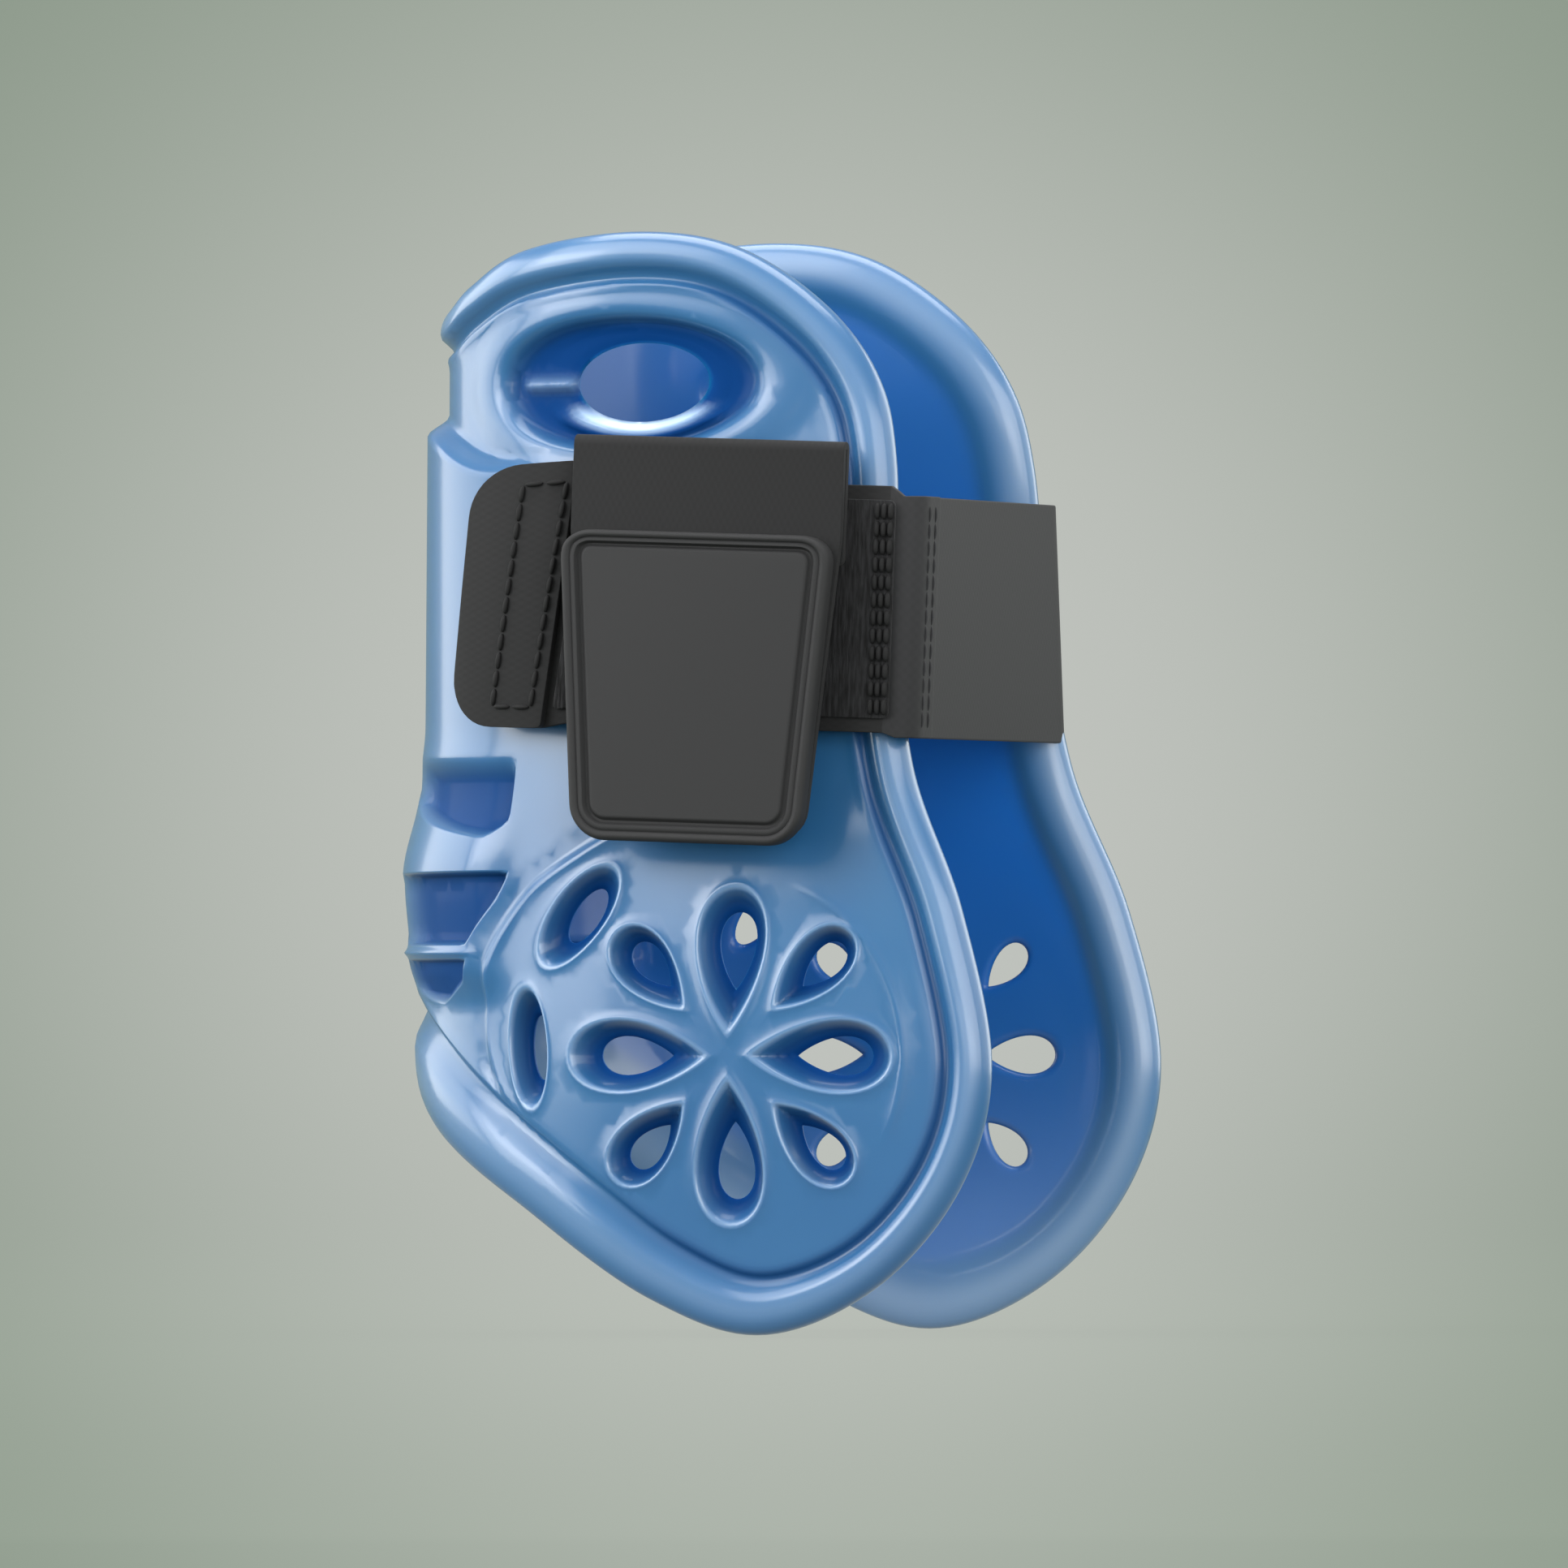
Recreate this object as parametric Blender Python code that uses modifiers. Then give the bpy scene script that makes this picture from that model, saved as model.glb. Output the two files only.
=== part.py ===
"""Fetlock boot: a moulded, vented U-shaped shell that wraps a horse's fetlock from behind,
closed across the front by an elastic strap with hook and loop tape, and locked by a webbing
flap with a moulded badge that folds down over the strap. Metres, +Z up. The shell opens
towards +X and its outer wing faces -Y. The origin is on the leg's axis, level with the
lowest rim."""

import math

import bmesh
import bpy
from mathutils import Matrix, Vector
from mathutils.geometry import delaunay_2d_cdt

# Shell: overall sizes, with lengths along the wall measured from the spine
SHELL_HEIGHT = 0.1703
WING_REACH = 0.1265
LOBE_HALF_WIDTH = 0.042
NECK_HALF_WIDTH = 0.032
SPINE_SETBACK = 0.0415
WALL = 0.004
BEAD_THICKNESS = 0.007
BEAD_WIDTH = 0.007
GROOVE_WIDTH = 0.0012
GROOVE_DEPTH = 0.0007
LOBE_DOME = 0.0025
MESH_STEP = 0.0066
RIM_STEP = 0.0058
STRIP_STEP = 0.0044
FEATURE_STEP = 0.0032

# The wall narrows from lobe to neck between these heights: eased, straight, eased
TAPER_SHARES = (0.264, 0.5, 0.822, 0.94)

# Half of the shell's flat outline, spine top to spine bottom, as shares of reach and height
OUTLINE_SHARES = (
    (0.0, 0.905),
    (0.12, 0.908),
    (0.19, 0.938),
    (0.316, 0.983),
    (0.474, 1.0),
    (0.601, 0.986),
    (0.711, 0.936),
    (0.785, 0.87),
    (0.82, 0.79),
    (0.842, 0.652),
    (0.88, 0.515),
    (0.957, 0.386),
    (1.0, 0.247),
    (0.962, 0.135),
    (0.855, 0.044),
    (0.708, 0.0),
    (0.561, 0.033),
    (0.379, 0.12),
    (0.2, 0.183),
    (0.0, 0.212),
)

# The rim's bead: how wide it is at each of those points, then where its crest and shoulder run
RIM_WIDTH_SHARES = (
    1.0, 1.0, 1.0, 1.03, 1.03, 1.03, 1.03, 1.0, 0.97, 0.97,
    0.94, 0.94, 0.97, 0.97, 1.03, 1.26, 1.4, 1.64, 2.14, 2.34,
)
CREST_SHARE = 0.46
SHOULDER_SHARE = 0.76

# Flower of vents on the lower lobe
FLOWER_REACH_SHARE = 0.676
FLOWER_HEIGHT_SHARE = 0.2525
FLOWER_MARGIN = 0.008
PETAL_COUNT = 8
LONG_PETAL_SHARES = (0.17, 0.95)
SHORT_PETAL_SHARES = (0.42, 0.99)
LONG_PETAL_WIDTH = 0.0105
SHORT_PETAL_WIDTH = 0.0084
PETAL_TAPER = 0.4
PETAL_FULLEST_SHARE = 0.8
PETAL_HOLE_SHARE = 0.56
PETAL_HOLE_PLACE_SHARE = 0.62
SLOT_HOLE_SHARE = 0.62
PETAL_SINK = 0.0024

# Two slots between the flower and the spine: centre, length, width and tilt
SLOT_PLACE_SHARES = ((0.476, 0.379), (0.411, 0.26))
SLOT_LENGTHS = (0.0172, 0.0176)
SLOT_WIDTHS = (0.0082, 0.0068)
SLOT_TILTS = (math.radians(54), math.radians(94))

# Oval window in the upper lobe, inside an oval dish
WINDOW_PLACE_SHARES = (0.464, 0.862)
DISH_WIDTH = 0.0445
DISH_HEIGHT = 0.0205
DISH_SINK = 0.0026
DISH_WALL_SHARE = 0.84
WINDOW_WIDTH = 0.0248
WINDOW_HEIGHT = 0.0136
WINDOW_SHIFT = 0.0048

# Spine: a bulge behind the joint, and a step in above it that runs down towards the front
SPINE_ZONE_SHARE = 0.36
SPINE_SOFT = 0.005
BULGE_DEPTH = 0.0034
BULGE_HEIGHT_SHARES = (0.296, 0.336, 0.414, 0.5, 0.553)
BULGE_RISE_SHARES = (0.0, 0.735, 1.0, 0.2, 0.0)
STEP_SHARES = (0.8186, 0.8374)
STEP_DEPTH = 0.0034
STEP_DROP = 0.0065
STEP_DROP_SHARES = (0.079, 0.3)

# Pockets beside the spine: the place of each corner, and how wide the slope is that starts there
POCKET_SLOPE = 0.016
POCKET_DEPTHS = (0.0022, 0.0024, 0.0013)
POCKET_CORNER_SHARES = (
    (
        (0.063, 0.4932, 0.1375), (0.158, 0.4715, 0.1125), (0.261, 0.4551, 0.0938), (0.34, 0.4492, 0.0813),
        (0.37, 0.4639, 0.0688), (0.373, 0.5255, 0.2813), (0.063, 0.5255, 1.0),
    ),
    (
        (0.063, 0.3505, 0.0625), (0.32, 0.3505, 0.0813), (0.3636, 0.3946, 0.0688), (0.3763, 0.4204, 0.0625),
        (0.063, 0.4181, 1.1),
    ),
    (
        (0.063, 0.32, 0.125), (0.174, 0.3018, 0.1125), (0.245, 0.2983, 0.0938), (0.3067, 0.3171, 0.0688),
        (0.3225, 0.3412, 0.0625), (0.063, 0.3412, 1.0),
    ),
)

# Layers of the closure, from the wall outwards
CLEARANCE = 0.0003
LOOP_TAPE = 0.0010
HOOK_TAPE = 0.0010
WEBBING = 0.0014
GRIP_PAD = 0.0012
ELASTIC = 0.0014
THREAD = 0.0005

# Strap
STRAP_WIDTH = 0.038
STRAP_FOOT_SHARE = 0.543
STRAP_TILT = math.radians(2)
TAPE_MARGIN = 0.0015
STRAP_CORNER = 0.001
STRAP_END_LENGTH = 0.070
TAB_LENGTH = 0.0155
TAB_LEAN = 0.003
TAB_ROUND = 0.0075
WING_PATCH_LENGTH = 0.050
WING_PATCH_SETBACK = 0.0125
FACE_TAPE_SETBACK = 0.0015
HOOK_LENGTH = 0.046
FAR_RUN = 0.050
FAR_PATCH_LENGTH = 0.024
STITCH_INSET = 0.003
TAB_STITCH_LENGTH = 0.0075
SEAM_SETBACK = 0.003
SEAM_SPACING = 0.003

# Flap and badge
FLAP_WIDTH = 0.044
FLAP_SETBACK = 0.0085
FLAP_RISE = 0.0071
HEM_HEIGHT = 0.0185
GRIP_HEIGHT = 0.019
BADGE_HEIGHT = 0.0478
BADGE_TOP_DROP = 0.0152
BADGE_OVERHANG = 0.00025
BADGE_TAPER = 0.00375
BADGE_ROUND = 0.0045
BADGE_THICKNESS = 0.0025
BADGE_RIM_WIDTH = 0.0017
BADGE_RIM_RISE = 0.0006
BADGE_LINE_WIDTH = 0.0008
FLAP_MARGIN = 0.001

# How finely curves are drawn, and how close free mesh points may come to drawn ones
CORNER_STEPS = 4
THREAD_SIDES = 1
OVAL_POINTS = 18
CURVE_SAMPLES = 24
PETAL_POINTS = 8
CROWD_SHARE = 0.5

# Sizes that follow from those above
WELD = CLEARANCE / 10
STRAP_LOW = STRAP_FOOT_SHARE * SHELL_HEIGHT
STRAP_HIGH = STRAP_LOW + STRAP_WIDTH
STRAP_MIDDLE = (STRAP_LOW + STRAP_HIGH) / 2
FLOWER = Vector((FLOWER_REACH_SHARE * WING_REACH, FLOWER_HEIGHT_SHARE * SHELL_HEIGHT))
FLOWER_RADIUS = WING_REACH - FLOWER.x - BEAD_WIDTH - FLOWER_MARGIN
WINDOW = Vector((WINDOW_PLACE_SHARES[0] * WING_REACH, WINDOW_PLACE_SHARES[1] * SHELL_HEIGHT))
PATCH_LIFT = WALL / 2 + CLEARANCE
HOOK_LIFT = PATCH_LIFT + LOOP_TAPE + CLEARANCE
BEAD_LIFT = BEAD_THICKNESS / 2 + CLEARANCE
WEB_LIFT = max(HOOK_LIFT + HOOK_TAPE + CLEARANCE, BEAD_LIFT)
FACE_LIFT = WEB_LIFT + WEBBING + CLEARANCE
GRIP_LIFT = FACE_LIFT + max(LOOP_TAPE, WEBBING) + CLEARANCE
FLAP_LIFT = GRIP_LIFT + GRIP_PAD + CLEARANCE
BADGE_LIFT = FLAP_LIFT + WEBBING + CLEARANCE
FAR_LIFT = max(PATCH_LIFT + WEBBING + CLEARANCE, BEAD_LIFT)
FOLD_HEIGHT = STRAP_HIGH + FLAP_RISE


def clear_scene():
    for thing in list(bpy.data.objects):
        bpy.data.objects.remove(thing)


def material(name, colour, roughness):
    made = bpy.data.materials.new(name)
    made.use_nodes = True
    shader = made.node_tree.nodes["Principled BSDF"]
    shader.inputs["Base Color"].default_value = (*colour, 1.0)
    shader.inputs["Roughness"].default_value = roughness
    made.diffuse_color = (*colour, 1.0)
    return made


def add_object(name, bm, finish, collection):
    """Turns a closed bmesh into a named object with its faces pointing out."""
    bmesh.ops.recalc_face_normals(bm, faces=bm.faces)
    mesh = bpy.data.meshes.new(name)
    bm.to_mesh(mesh)
    bm.free()
    mesh.materials.append(finish)
    made = bpy.data.objects.new(name, mesh)
    collection.objects.link(made)
    return made


def ease(value, start, end):
    """0 before start, 1 after end, and a smooth climb between."""
    t = min(max((value - start) / (end - start), 0.0), 1.0)
    return t * t * (3 - 2 * t)


def taper_slope():
    """How fast each wing leans inwards over the straight stretch, as width per height."""
    a, b, c, d = (share * SHELL_HEIGHT for share in TAPER_SHARES)
    return (LOBE_HALF_WIDTH - NECK_HALF_WIDTH) / ((b - a) / 2 + (c - b) + (d - c) / 2)


def half_width(z):
    """From the leg's axis to the middle of the wing's wall at height z."""
    a, b, c, d = (share * SHELL_HEIGHT for share in TAPER_SHARES)
    run = min(max(z - a, 0.0), b - a) ** 2 / (2 * (b - a))
    run += min(max(z - b, 0.0), c - b)
    left = min(max(d - z, 0.0), d - c)
    if z > c:
        run += ((d - c) ** 2 - left**2) / (2 * (d - c))
    return LOBE_HALF_WIDTH - taper_slope() * run


def wing_line(z):
    """The half width of the straight stretch, carried on above and below it."""
    return half_width(STRAP_MIDDLE) - taper_slope() * (z - STRAP_MIDDLE)


def on_wall(s, z, lift):
    """The point that lies s along the outer wing's wall from the spine, lift outside it."""
    half = half_width(z)
    centre = half - SPINE_SETBACK
    quarter = half * math.pi / 2
    if s > quarter:
        return Vector((centre + s - quarter, -(half + lift), z))
    turn = s / half
    reach = half + lift
    return Vector((centre - reach * math.cos(turn), -reach * math.sin(turn), z))


def on_strap(u, z, lift):
    """The point that lies u back along the closed strap from the near corner. The strap climbs
    a little towards the spine."""
    height = z + math.tan(STRAP_TILT) * u
    half = half_width(height)
    centre = half - SPINE_SETBACK
    return on_wall(half * math.pi / 2 + corner_x() - centre - u, height, lift)


def on_wing(x, z, lift):
    """A point over the flat of the outer wing, where x and z follow the tilted strap."""
    height = z + math.tan(STRAP_TILT) * (corner_x() - x)
    return Vector((x, -(wing_line(height) + lift), height))


def on_far_wing(x, z, lift):
    """The same on the inner wing, which faces +Y."""
    return Vector((x, wing_line(z) + lift, z))


def curve_through(points, step):
    """An open Catmull-Rom curve through the points, with a point about every step."""
    ends = [2 * points[0] - points[1]] + points + [2 * points[-1] - points[-2]]
    fine = []
    for p0, p1, p2, p3 in zip(ends, ends[1:], ends[2:], ends[3:]):
        for i in range(CURVE_SAMPLES):
            t = i / CURVE_SAMPLES
            fine.append(
                (2 * p1 + (p2 - p0) * t + (2 * p0 - 5 * p1 + 4 * p2 - p3) * t**2
                 + (3 * p1 - p0 - 3 * p2 + p3) * t**3) / 2
            )
    fine.append(points[-1])
    lengths = [0.0]
    for a, b in zip(fine, fine[1:]):
        lengths.append(lengths[-1] + (b - a).length)
    count = max(round(lengths[-1] / step), 2)
    spaced = []
    at = 0
    for i in range(count + 1):
        target = lengths[-1] * i / count
        while at < len(fine) - 2 and lengths[at + 1] < target:
            at += 1
        share = (target - lengths[at]) / (lengths[at + 1] - lengths[at])
        spaced.append(fine[at].lerp(fine[at + 1], min(max(share, 0.0), 1.0)))
    return spaced


def rim_curve(share, past=0.0):
    """The shell's half outline, moved inwards by a share of the rim's width there, and by past
    beyond that. Its ends stay on the spine."""
    outline = [
        Vector((s * WING_REACH, z * SHELL_HEIGHT, width * BEAD_WIDTH))
        for (s, z), width in zip(OUTLINE_SHARES, RIM_WIDTH_SHARES)
    ]
    rim = curve_through(outline, RIM_STEP)
    moved = []
    for i, point in enumerate(rim):
        before = rim[i - 1].xy if i else Vector((-rim[1].x, rim[1].y))
        after = rim[i + 1].xy if i < len(rim) - 1 else Vector((-rim[-2].x, rim[-2].y))
        along = (after - before).normalized()
        moved.append(point.xy + Vector((along.y, -along.x)) * (share * point.z + past))
    return moved


def front_reach(z):
    """How far the outline's front edge lies from the spine at height z."""
    rim = rim_curve(0)
    reach = 0.0
    for a, b in zip(rim, rim[1:]):
        if min(a.y, b.y) <= z <= max(a.y, b.y) and a.y != b.y:
            reach = max(reach, a.x + (b.x - a.x) * (z - a.y) / (b.y - a.y))
    return reach


def front_x(z):
    half = half_width(z)
    return half - SPINE_SETBACK + front_reach(z) - half * math.pi / 2


def corner_x():
    """Where the strap turns across the front, clear of the wings' front edges."""
    if not CORNER:
        CORNER.append(max(front_x(STRAP_LOW), front_x(STRAP_MIDDLE), front_x(STRAP_HIGH)) + CLEARANCE)
    return CORNER[0]


def is_inside(point, loop):
    inside = False
    for a, b in zip(loop, loop[1:] + loop[:1]):
        if (a.y > point.y) != (b.y > point.y):
            if point.x < a.x + (b.x - a.x) * (point.y - a.y) / (b.y - a.y):
                inside = not inside
    return inside


def oval(centre, length, width, tilt=0.0):
    along = Vector((math.cos(tilt), math.sin(tilt)))
    across = Vector((-along.y, along.x))
    turns = [2 * math.pi * i / OVAL_POINTS for i in range(OVAL_POINTS)]
    return [
        centre + along * (length / 2 * math.cos(t)) + across * (width / 2 * math.sin(t))
        for t in turns
    ]


def petal(angle, start, end, width):
    """A drop with its point at start and its round end at end, both measured from the flower."""
    along = Vector((math.cos(angle), math.sin(angle)))
    across = Vector((-along.y, along.x))
    count = max(round(2 * (end - start) / FEATURE_STEP), PETAL_POINTS)
    points = []
    for i in range(count):
        t = 2 * math.pi * i / count
        place = (1 - math.cos(t)) / 2
        half = width / 2 * math.sin(t) * place**PETAL_TAPER / PETAL_FULLEST_SHARE
        points.append(FLOWER + along * (start + (end - start) * place) + across * half)
    return points


def shrunk(loop, share, place_share=0.5):
    """A smaller copy of a loop, about a point that lies place_share of the way along it."""
    first, last = loop[0], loop[len(loop) // 2]
    about = first.lerp(last, place_share)
    return [about + (point - about) * share for point in loop]


def vents():
    """Every vent as (lip, hole): the lip is level with the wall and the hole is sunk."""
    found = []
    for i in range(PETAL_COUNT):
        angle = math.pi / 2 + 2 * math.pi * i / PETAL_COUNT
        long = i % 2 == 0
        start, end = LONG_PETAL_SHARES if long else SHORT_PETAL_SHARES
        width = LONG_PETAL_WIDTH if long else SHORT_PETAL_WIDTH
        lip = petal(angle, start * FLOWER_RADIUS, end * FLOWER_RADIUS, width)
        found.append((lip, shrunk(lip, PETAL_HOLE_SHARE, PETAL_HOLE_PLACE_SHARE)))
    for place, length, width, tilt in zip(SLOT_PLACE_SHARES, SLOT_LENGTHS, SLOT_WIDTHS, SLOT_TILTS):
        centre = Vector((place[0] * WING_REACH, place[1] * SHELL_HEIGHT))
        lip = oval(centre, length, width, tilt)
        found.append((lip, shrunk(lip, SLOT_HOLE_SHARE)))
    return found


def window_loops():
    dish = oval(WINDOW, DISH_WIDTH, DISH_HEIGHT)
    floor = oval(WINDOW, DISH_WIDTH * DISH_WALL_SHARE, DISH_HEIGHT * DISH_WALL_SHARE)
    window = oval(WINDOW + Vector((WINDOW_SHIFT, 0)), WINDOW_WIDTH, WINDOW_HEIGHT)
    return dish, floor, window


def pocket_sides(corners):
    """Each side of a pocket as its start, its direction and the width of its slope."""
    places = [Vector((s * WING_REACH, z * SHELL_HEIGHT)) for s, z, _ in corners]
    return [
        (start, (end - start).normalized(), slope * POCKET_SLOPE)
        for start, end, (_, _, slope) in zip(places, places[1:] + places[:1], corners)
    ]


def pocket_loops(corners):
    """A pocket's brink and the edge of its floor, where every side's slope has ended."""
    sides = pocket_sides(corners)
    floor = []
    for before, side in zip(sides[-1:] + sides, sides):
        a, b = (start + Vector((-along.y, along.x)) * slope for start, along, slope in (before, side))
        run = (b - a).cross(side[1]) / before[1].cross(side[1])
        floor.append(a + before[1] * run)
    loops = []
    for ring in ([start for start, _, _ in sides], floor):
        points = []
        for a, b in zip(ring, ring[1:] + ring[:1]):
            count = max(round((b - a).length / MESH_STEP), 1)
            points += [a.lerp(b, i / count) for i in range(count)]
        loops.append(points)
    return loops


def pocket_relief(s, z):
    """How far the pockets sink the wall."""
    sunk = 0.0
    for corners, depth in zip(POCKET_CORNER_SHARES, POCKET_DEPTHS):
        for start, along, slope in pocket_sides(corners):
            depth *= ease(Vector((-along.y, along.x)).dot(Vector((s, z)) - start), 0.0, slope)
        sunk += depth
    return sunk


def spine_relief(s, z):
    """How far the spine's bulge, top step and side pockets move the wall outwards."""
    zone = SPINE_ZONE_SHARE * WING_REACH
    near_spine = 1 - ease(s, zone - SPINE_SOFT, zone + SPINE_SOFT)
    moved = 0.0
    knots = [(share * SHELL_HEIGHT, rise) for share, rise in zip(BULGE_HEIGHT_SHARES, BULGE_RISE_SHARES)]
    for (start, before), (end, after) in zip(knots, knots[1:]):
        moved += BULGE_DEPTH * (after - before) * ease(z, start, end)
    dropped = z + STEP_DROP * ease(s, *(share * WING_REACH for share in STEP_DROP_SHARES))
    moved -= STEP_DEPTH * ease(dropped, *(share * SHELL_HEIGHT for share in STEP_SHARES))
    return moved * near_spine - pocket_relief(s, z)


def lobe_dome(s, z):
    radius = FLOWER_RADIUS + BEAD_WIDTH + FLOWER_MARGIN
    away = (Vector((s, z)) - FLOWER).length / radius
    return LOBE_DOME * (1 - min(away, 1.0) ** 2) ** 2


def shell_half():
    """The outer half of the shell as an open sheet with its spine at y = 0. Its vertices carry
    the wall's thickness as a weight."""
    rims = [rim_curve(share) for share in (0, CREST_SHARE, SHOULDER_SHARE, 1)]
    rims.append(rim_curve(1, GROOVE_WIDTH))
    rim_lifts = (
        (WALL / 2, WALL / 2),
        (BEAD_THICKNESS / 2, BEAD_THICKNESS / 2),
        (WALL / 2, (WALL + BEAD_THICKNESS) / 4),
        (WALL / 2 - GROOVE_DEPTH, WALL / 2),
        (WALL / 2, WALL / 2),
    )
    dish, floor, window = window_loops()
    sunk = (WALL / 2 - DISH_SINK, WALL / 2)
    sunk_petal = (WALL / 2 - PETAL_SINK, WALL / 2)
    flush = (WALL / 2, WALL / 2)
    loops = [(dish, flush), (floor, sunk), (window, sunk)]
    holes = [window]
    for corners in POCKET_CORNER_SHARES:
        loops += [(loop, flush) for loop in pocket_loops(corners)]
    for lip, hole in vents():
        loops += [(lip, flush), (hole, sunk_petal)]
        holes.append(hole)

    points, lifts, edges = [], [], []
    for rim, lift in zip(rims, rim_lifts):
        first = len(points)
        points += rim
        lifts += [lift] * len(rim)
        edges += [(first + i, first + i + 1) for i in range(len(rim) - 1)]
    for loop, lift in loops:
        first = len(points)
        points += loop
        lifts += [lift] * len(loop)
        edges += [(first + i, first + (i + 1) % len(loop)) for i in range(len(loop))]

    inner = rims[-1]
    drawn = points[:]
    rows = math.ceil(SHELL_HEIGHT / MESH_STEP)
    columns = math.ceil(WING_REACH / MESH_STEP)
    for column in range(columns):
        for row in range(rows):
            height = (row + (column % 2) / 2) * SHELL_HEIGHT / rows
            place = Vector((column * WING_REACH / columns, height))
            if column:
                used = is_inside(place, inner)
            else:
                used = inner[-1].y < place.y < inner[0].y
            if used and min((place - other).length for other in drawn) > MESH_STEP * CROWD_SHARE:
                points.append(place)
                lifts.append(sunk if is_inside(place, floor) else flush)

    flat = delaunay_2d_cdt(points, edges, [], 0, WELD / 100)
    outline = rims[0]
    bm = bmesh.new()
    weights = bm.verts.layers.deform.verify()
    made = []
    for place, sources in zip(flat[0], flat[3]):
        outer, inner_lift = lifts[sources[0]] if sources else flush
        moved = spine_relief(place.x, place.y) + lobe_dome(place.x, place.y)
        vert = bm.verts.new(on_wall(place.x, place.y, moved + (outer - inner_lift) / 2))
        vert[weights][0] = (outer + inner_lift) / BEAD_THICKNESS
        made.append(vert)
    for face in flat[2]:
        middle = sum((flat[0][i] for i in face), Vector((0, 0))) / len(face)
        if is_inside(middle, outline) and not any(is_inside(middle, hole) for hole in holes):
            bm.faces.new([made[i] for i in face])
    bmesh.ops.delete(bm, geom=[v for v in bm.verts if not v.link_faces], context="VERTS")
    for vert in bm.verts:
        if abs(vert.co.y) < CLEARANCE:
            vert.co.y = 0
    return bm


def make_shell(finish, collection):
    """One moulded piece: half is drawn flat, wrapped round the leg, mirrored and thickened."""
    made = add_object("shell", shell_half(), finish, collection)
    made.vertex_groups.new(name="wall")
    mirror = made.modifiers.new("other wing", "MIRROR")
    mirror.use_axis = (False, True, False)
    mirror.merge_threshold = WELD
    wall = made.modifiers.new("wall", "SOLIDIFY")
    wall.thickness = BEAD_THICKNESS
    wall.offset = 0
    wall.vertex_group = "wall"
    return made


def rounded(corners, radius):
    """The corners as an outline with each one rounded, on radius or on its own radius."""
    radii = radius if isinstance(radius, (list, tuple)) else [radius] * len(corners)
    points = []
    for i, corner in enumerate(corners):
        before = (corners[i - 1] - corner).normalized()
        after = (corners[(i + 1) % len(corners)] - corner).normalized()
        start, end = corner + before * radii[i], corner + after * radii[i]
        for step in range(CORNER_STEPS + 1):
            t = step / CORNER_STEPS
            points.append((1 - t) ** 2 * start + 2 * t * (1 - t) * corner + t * t * end)
    return points


def rectangle(left, right, low, high, radius, lean=0.0):
    """A strip's outline, whose left edge may lean by lean from foot to top."""
    corners = [
        Vector((left - lean / 2, low)),
        Vector((right, low)),
        Vector((right, high)),
        Vector((left + lean / 2, high)),
    ]
    return rounded(corners, radius)


def pad(name, outline, lift, thickness, place, finish, collection, step=None):
    """A flat piece of an even thickness, laid on the boot by place(u, z, lift). With a step it
    is cut into columns first, so that it can bend; all layers share the same columns."""
    bm = bmesh.new()
    bm.faces.new([bm.verts.new((point.x, 0, point.y)) for point in outline])
    if step:
        low, high = min(p.x for p in outline), max(p.x for p in outline)
        for i in range(math.floor(low / step) + 1, math.ceil(high / step)):
            cut = Vector((i * step, 0, 0))
            bmesh.ops.bisect_plane(
                bm, geom=bm.verts[:] + bm.edges[:] + bm.faces[:], plane_co=cut,
                plane_no=(1, 0, 0), dist=WELD / 10,
            )
    grown = bmesh.ops.extrude_face_region(bm, geom=bm.faces[:])
    for thing in grown["geom"]:
        if isinstance(thing, bmesh.types.BMVert):
            thing.co.y = thickness
    for vert in bm.verts:
        vert.co = place(vert.co.x, vert.co.z, lift + vert.co.y)
    return add_object(name, bm, finish, collection)


def thread(name, path, lift, place, finish, collection):
    """A row of sewing thread that lies on a layer, through (u, z) points. Past two points it
    is a closed run."""
    curve = bpy.data.curves.new(name, "CURVE")
    curve.dimensions = "3D"
    curve.bevel_depth = THREAD / 2
    curve.bevel_resolution = THREAD_SIDES
    curve.use_fill_caps = True
    spline = curve.splines.new("POLY")
    spline.points.add(len(path) - 1)
    spline.use_cyclic_u = len(path) > 2
    for point, flat in zip(spline.points, path):
        point.co = (*place(flat.x, flat.y, lift + CLEARANCE + THREAD / 2), 1)
    made = bpy.data.objects.new(name, curve)
    curve.materials.append(finish)
    collection.objects.link(made)
    return made


def make_wing_patch(finish, collection):
    """Loop tape bonded to the outer wing. The strap's hook tape grips it."""
    outline = rectangle(
        WING_PATCH_SETBACK, WING_PATCH_SETBACK + WING_PATCH_LENGTH,
        STRAP_LOW + TAPE_MARGIN, STRAP_HIGH - TAPE_MARGIN, STRAP_CORNER,
    )
    return pad("wing_loop_patch", outline, PATCH_LIFT, LOOP_TAPE, on_strap, finish, collection, STRIP_STEP)


def make_far_side(finishes, collection):
    """The strap's fixed end, sewn to the inner wing over a webbing patch."""
    corner = corner_x()
    patch = rectangle(
        corner - FAR_RUN, corner - FAR_RUN + FAR_PATCH_LENGTH,
        STRAP_LOW + TAPE_MARGIN, STRAP_HIGH - TAPE_MARGIN, STRAP_CORNER,
    )
    pad("far_backing_patch", patch, PATCH_LIFT, WEBBING, on_far_wing, finishes["webbing"], collection)
    run = rectangle(corner - FAR_RUN - TAPE_MARGIN, corner - CLEARANCE, STRAP_LOW, STRAP_HIGH, STRAP_CORNER)
    pad("elastic_far_side", run, FAR_LIFT, ELASTIC, on_far_wing, finishes["elastic"], collection)
    box = rectangle(
        corner - FAR_RUN + STITCH_INSET, corner - FAR_RUN + FAR_PATCH_LENGTH - STITCH_INSET,
        STRAP_LOW + STITCH_INSET, STRAP_HIGH - STITCH_INSET, STRAP_CORNER,
    )
    thread("far_anchor_stitching", box, FAR_LIFT + ELASTIC, on_far_wing, finishes["thread"], collection)


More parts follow.
